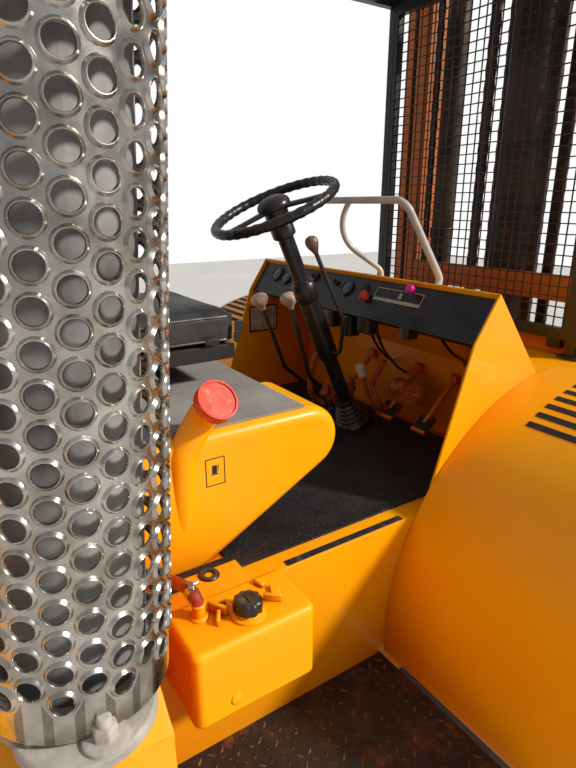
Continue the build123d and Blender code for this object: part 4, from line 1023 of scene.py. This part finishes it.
def wheel_rim():
    """Finger grips round the steering wheel's rim, its spokes' sleeves and a domed centre."""
    form = Form()
    across = Vector(X_AXIS)
    up = COLUMN_AXIS.cross(across)
    grips, rim_r, bar_r, wave = 36, 195.6, 14.7, 1.1
    line = [WHEEL_CENTRE + across * a + up * b for a, b in circle(rim_r, 5 * grips)]
    radii = [bar_r + wave * math.cos(2 * math.pi * k / 5) for k in range(5 * grips)]
    form.tube(line, radii, 12, True)
    dome = ((50, -6), (53, -2), (53, 6), (50, 14), (43, 21), (30, 27), (14, 30), (4, 30.6))
    form.turned(placed(WHEEL_CENTRE + COLUMN_AXIS * 2, COLUMN_AXIS), dome, 32)
    for degrees in (30, 150, 270):
        angle = math.radians(degrees)
        toward = across * math.cos(angle) + up * math.sin(angle)
        other = COLUMN_AXIS.cross(toward)
        rings = []
        for far, wide, thick in ((40, 19, 12), (110, 15, 11), (185, 17, 12)):
            middle = WHEEL_CENTRE + toward * far - COLUMN_AXIS * 3.6
            rings.append([at(*(middle + other * wide * a + COLUMN_AXIS * thick * 0.62 * b))
                          for a, b in circle(1, 12)])
        form.stack(rings)
    form.piece("wheel_grip", PLASTIC, "wheel_black", "steering_wheel")


# Pedals and what stands behind them

def pedal_pads():
    pads = Form()
    for x, half_wide in ((-130, 38), (130, 38), (300, 30)):
        middle = Vector((x, -232, 938))
        pads.block(placed(middle, PEDAL_UP), (2 * half_wide + 4, 64, 8), 6, 2)
        for k in range(-2, 3):
            rib = middle + PEDAL_RISE * (k * 12) + PEDAL_UP * 7.5
            pads.block(placed(rib, PEDAL_UP), (2 * half_wide - 6, 5, 3), 1, 0.6)
    pads.piece("pedal_pads", PLASTIC, "pedal_rusty")


def pedal_valves():
    """The rusty brake valve and cylinder behind the pedals, with a pipe."""
    valves = Form()
    valves.block(placed((-80, -300, 925), (0, -0.3, 1)), (120, 70, 60), 14, 6, 3)
    valves.block(placed((185, -190, 985), (0, -0.4, 1)), (150, 60, 58), 16, 6, 3)
    for spot, up, profile, sides in (
            ((-80, -345, 968), (0, -1, 0.35), ((30, -40), (30, 8), (24, 14), (24, 40), (16, 46)), 20),
            ((-135, -300, 985), Z_AXIS, ((14, -20), (14, 10), (20, 12), (20, 24), (12, 28)), 16),
            ((-40, -290, 985), Z_AXIS, ((18, -20), (18, 12), (22, 16), (22, 34), (14, 40)), 16),
            ((150, -220, 1035), (0, -0.6, 1), ((30, -30), (32, 6), (24, 16), (12, 22)), 20),
            ((230, -200, 1025), (0, -0.3, 1), ((22, -30), (24, 8), (18, 16), (8, 20)), 18)):
        valves.turned(placed(spot, up), profile, sides)
    pipe = ((-70, -420, 1140), (-92, -425, 1090), (-118, -420, 1020), (-140, -395, 950), (-135, -340, 900))
    valves.tube(curved(pipe), 11, 10)
    valves.piece("pedal_valves", RUSTY_ORANGE, "pedal_rusty")


def pedal_arms():
    arms = Form()
    brake = ((160, -300, 1140), (132, -306, 1090), (112, -310, 1040), (130, -300, 990), (130, -250, 945))
    arms.tube(curved(brake), 9, 10)
    arms.tube(curved(((108, -350, 1080), (112, -330, 1010), (112, -280, 940), (112, -230, 900))), 8, 8)
    arms.piece("pedal_arms", RUSTY_RED, "pedal_rusty")
    knob = ((13, 0), (17, 4), (17, 42), (14, 50), (6, 53))
    stop = Form().turned(placed((108, -352, 1078), (-0.2, -0.3, 1)), knob, 18)
    stop.piece("pedal_pale_knob", PALE_KNOB, "pedal_rusty")


def cheek_plate():
    """A bare plate with a black border on the inside of the cowl's left cheek."""
    border = Form().block(placed((-598.6, -340, 1170), X_AXIS, Y_AXIS), (146, 118, 1.4), 3, 0.5)
    border.piece("cheek_plate", BLACK, "frame_dark")
    face = Form().block(placed((-597.4, -340, 1170), X_AXIS, Y_AXIS), (132, 104, 1.0), 2, 0.4)
    face.piece("cheek_plate_face", LABEL, "frame_dark")


# Strips, step marks, the tank's mark, reservoir and fasteners

FENDER_STRIP_R = 664.7
STRIPS = 12


def strips():
    """Black anti-slip strips on the fenders and the sills."""
    form = Form()
    for sign in SIDES.values():
        for k in range(STRIPS):
            angle = math.radians(118.4 - 3.62 * k)
            up = (0, math.cos(angle), math.sin(angle))
            spot = (sign * 940, FENDER_STRIP_R * up[1], FRONT_HUB[1] + FENDER_STRIP_R * up[2])
            form.block(placed(spot, up), (420, 20, 1.5), 2, 0.4)
    for sign in SIDES.values():
        form.block(placed((sign * 590, -806, SILL_TOP), Z_AXIS, Y_AXIS), (372, 20, 1.6), 2, 0.4)
    form.piece("anti_slip_strips", GRIP, "mat_black")


def tread_marks():
    """Raised drops on the steps, each turned a quarter from the next."""
    drop = ((12, 0), (5, 3.4), (-5, 3.0), (-11, 0), (-5, -3.0), (5, -3.4))
    for side, sign in SIDES.items():
        form = Form()
        for i in range(17):
            for j in range(26):
                turn = math.pi / 4 if (i + j) % 2 else -math.pi / 4
                place = level(sign * (626 + 28.4 * i), -1422 + 28.6 * j, STEP_TOP, turn)
                form.stack([[place(a * grow, b * grow, high) for a, b in drop]
                            for grow, high in ((1.0, 0), (0.55, 1.9))])
        form.piece("step_drops_" + side, STEP, "frame_dark", smooth=False)


def tank_mark():
    """A black border with a plain pump on the tank's side."""
    form = Form()
    for along, rise, wide, tall in ((0, 33, 46, 2.4), (0, -33, 46, 2.4), (-23, 0, 2.4, 68), (23, 0, 2.4, 68),
                                    (-2, 6, 12, 20), (-2, -6, 17, 3), (7, 8, 2, 16)):
        place = placed((489.9, -1115 + along, 1084 + rise), X_AXIS, Y_AXIS)
        form.block(place, (wide, tall, 0.7), 0.8, 0.2)
    form.piece("tank_mark", BLACK, "frame_dark")


RESERVOIR_TOP = 866
CAP_SPOT = (704, -1156)
HOSE_SPOT = (660, -1244)
OUTLET = (738, -1200, 694)


def reservoir_cap():
    cap = Form()
    place = placed((*CAP_SPOT, RESERVOIR_TOP + 14.2))
    rings = []
    for radius, height in ((27, 0), (30, 1), (30, 17), (28, 22), (23, 25.4), (16, 25.6), (13, 24.2)):
        lobe = 1.3 if radius > 26 else 0.4
        ring = []
        for k in range(60):
            angle = 2 * math.pi * k / 60
            r = radius + lobe * math.cos(10 * angle)
            ring.append(place(r * math.cos(angle), r * math.sin(angle), height))
        rings.append(ring)
    cap.stack(rings)
    cap.block(placed((*CAP_SPOT, RESERVOIR_TOP + 36)), (18, 6, 5), 2, 1)
    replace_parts(cap.piece("reservoir_lobed_cap", PLASTIC, "cap_black"), "reservoir_cap")


def reservoir_lugs():
    """The neck, ribs and hose stub on the reservoir's top, and a boss on its side."""
    lugs = Form()
    lugs.turned(placed((*CAP_SPOT, RESERVOIR_TOP)), ((38, 0), (37, 6), (28, 9), (27, 14)), 28)
    for x, y, turn, wide, deep, tall in ((668, -1206, 0.6, 46, 9, 24), (690, -1216, -0.5, 34, 9, 18),
                                         (699, -1094, 0.9, 40, 9, 20), (676, -1076, -0.4, 30, 22, 10),
                                         (640, -1090, 0.3, 26, 18, 12), (652, -1196, 1.2, 30, 9, 16)):
        lugs.block(level(x, y, RESERVOIR_TOP, turn), (wide, deep, tall), 3, 3)
    stub = ((20, 0), (19, 8), (14, 12), (13, 34), (15, 36), (12, 40))
    lugs.turned(placed((*HOSE_SPOT, RESERVOIR_TOP - 4)), stub, 20)
    lugs.turned(placed((760, -1216, 732), (1, 0, 0.1)), ((12, -6), (12, 1.5), (10, 2)), 16)
    lugs.piece("reservoir_lugs", YELLOW, "reservoir_paint")


def reservoir_hose():
    """The hose to the frame with its clamp, and the outlet under the reservoir."""
    route = ((*HOSE_SPOT, 894), (656, -1247, 914), (636, -1252, 922), (600, -1258, 914),
             (556, -1264, 896), (528, -1268, 872), (516, -1269, 846))
    hose = Form().tube(curved(route), 12.5, 14)
    hose.piece("reservoir_hose", RUSTY_RED, "reservoir_paint")
    clamp = Form()
    clamp.tube([(650, -1249, 918), (637, -1252, 921)], 14.6, 18)
    clamp.block(placed((643, -1252, 933), (0.3, 0, 1)), (16, 12, 9), 2, 1.5)
    clamp.turned(placed((643, -1242, 937), Y_AXIS), ((4.5, -16), (4.5, 6), (3.6, 8)), 10)
    fitting = ((12, 0), (12, 9), (9, 10), (9, 18), (11, 19), (11, 23), (7, 24))
    clamp.turned(placed(OUTLET, (0.25, 1, 0.1)), fitting, 6)
    clamp.piece("hose_clamp", STAINLESS, "stack_steel")
    cone = Form().turned(placed(OUTLET, (-0.25, -1, -0.1)), ((12, -1), (11, 4), (4, 44), (3, 46)), 20)
    cone.piece("outlet_cone", PLASTIC, "cap_black")


def floor_grommet():
    profile = ((24, 0), (24, 3), (21, 6), (15, 6.6), (11, 4), (10, -2))
    ring = Form().turned(placed((541, -1166, 859.4)), profile, 24)
    ring.piece("floor_grommet", PLASTIC, "mat_black")


def body_bolts():
    """Bolts with washers, by the overhead guard's rear feet and on the screen's lower bar."""
    form = Form()

    def bolt(x, y, z, up, width, height):
        form.turned(placed((x, y, z), up), ((width * 0.8, -0.5), (width * 0.8, 1.8), (width * 0.74, 2.4)), 14)
        form.nut(placed(Vector((x, y, z)) + Vector(up) * 2, up), width, height)

    for sign in SIDES.values():
        for y in (-1550, -1460):
            bolt(sign * 470, y, 1140, Z_AXIS, 15, 7)
        bolt(sign * 410, 299.6, 1186, (0, -1, 0), 17, 8)
    form.piece("body_bolts", GREASY, "frame_dark")


def stack_flange():
    """The oval flange at the stack's foot, with two studs and two ribs."""
    flange = Form()
    flange.block(placed((960, -1526, 1129.8), Z_AXIS, (1, 0.05, 0)), (262, 150, 15), 74, 3, 8)
    for x, y in ((1066, -1516), (854, -1536)):
        flange.turned(placed((x, y, 1140)), ((25, 0), (24, 8), (21, 10)), 20)
        flange.nut(placed((x, y, 1149)), 27, 15)
        flange.turned(placed((x, y, 1162)), ((8, 0), (8, 9), (6.5, 11)), 12)
    for x, turn in ((1010, -0.8), (905, -2.3)):
        flange.block(level(x, -1560, 1142, turn), (70, 10, 22), 4, 3)
    flange.piece("foot_flange", CAST, "flange_cast")


# Light, floor and camera

SUN_TRAVEL = (-0.607, -0.577, -0.546)
CAMERA_AT = (1.517, -0.971, 1.658)
CAMERA_LOOK = (-0.7956, 0.5204, -0.3107)
LENS_MM = 25.8
FLOOR_HALF = 14.0


def facing(direction):
    """The turn that points a light or a camera along a direction."""
    return Vector(direction).to_track_quat("-Z", "Y").to_euler()


def sun():
    """Soft light from the truck's front right, high up."""
    light = bpy.data.lights.new("soft_sun", "SUN")
    light.energy = 3.9
    light.angle = math.radians(6)
    light.color = (1.0, 0.96, 0.9)
    in_scene("soft_sun", light).rotation_euler = facing(SUN_TRAVEL)


def sky():
    """A pale studio that lights softly and looks white to the camera."""
    world = bpy.data.worlds.new("studio")
    bpy.context.scene.world = world
    world.use_nodes = True
    tree = world.node_tree
    tree.nodes.clear()

    def glow(colour, strength):
        made = tree.nodes.new("ShaderNodeBackground")
        made.inputs["Color"].default_value = colour
        made.inputs["Strength"].default_value = strength
        return made.outputs[0]

    path = tree.nodes.new("ShaderNodeLightPath")
    either = tree.nodes.new("ShaderNodeMath")
    either.operation = "MAXIMUM"
    either.use_clamp = True
    tree.links.new(path.outputs["Is Camera Ray"], either.inputs[0])
    tree.links.new(path.outputs["Is Transmission Ray"], either.inputs[1])
    chosen = tree.nodes.new("ShaderNodeMixShader")
    tree.links.new(either.outputs[0], chosen.inputs[0])
    tree.links.new(glow((0.93, 0.95, 1.0, 1), 0.42), chosen.inputs[1])
    tree.links.new(glow((1, 1, 1, 1), 1.0), chosen.inputs[2])
    tree.links.new(chosen.outputs[0], tree.nodes.new("ShaderNodeOutputWorld").inputs[0])


def floor():
    bm = bmesh.new()
    bmesh.ops.create_grid(bm, x_segments=8, y_segments=8, size=FLOOR_HALF)
    mesh = bpy.data.meshes.new("studio_floor")
    bm.to_mesh(mesh)
    bm.free()
    mesh.materials.append(pale_floor())
    in_scene("studio_floor", mesh)


def camera():
    cam = bpy.data.cameras.new("photo_camera")
    cam.sensor_fit = "AUTO"
    cam.sensor_width = 36.0
    cam.lens = LENS_MM
    cam.clip_start = 0.02
    obj = in_scene("photo_camera", cam)
    obj.location = CAMERA_AT
    obj.rotation_euler = facing(CAMERA_LOOK)
    bpy.context.scene.camera = obj


for build in (heat_guard, seat_cushion, seat_back, seat_painted_shadow, wheels, dash_dials, dash_knobs, dash_plate,
              under_dash, lever_knobs, rubber_boots, column_collars, wheel_rim, pedal_pads, pedal_valves,
              pedal_arms, cheek_plate, strips, tread_marks, reservoir_cap, reservoir_lugs, reservoir_hose,
              floor_grommet, tank_mark, body_bolts, stack_flange, sun, sky, floor, camera):
    build()
bpy.context.scene.view_settings.view_transform = "Standard"
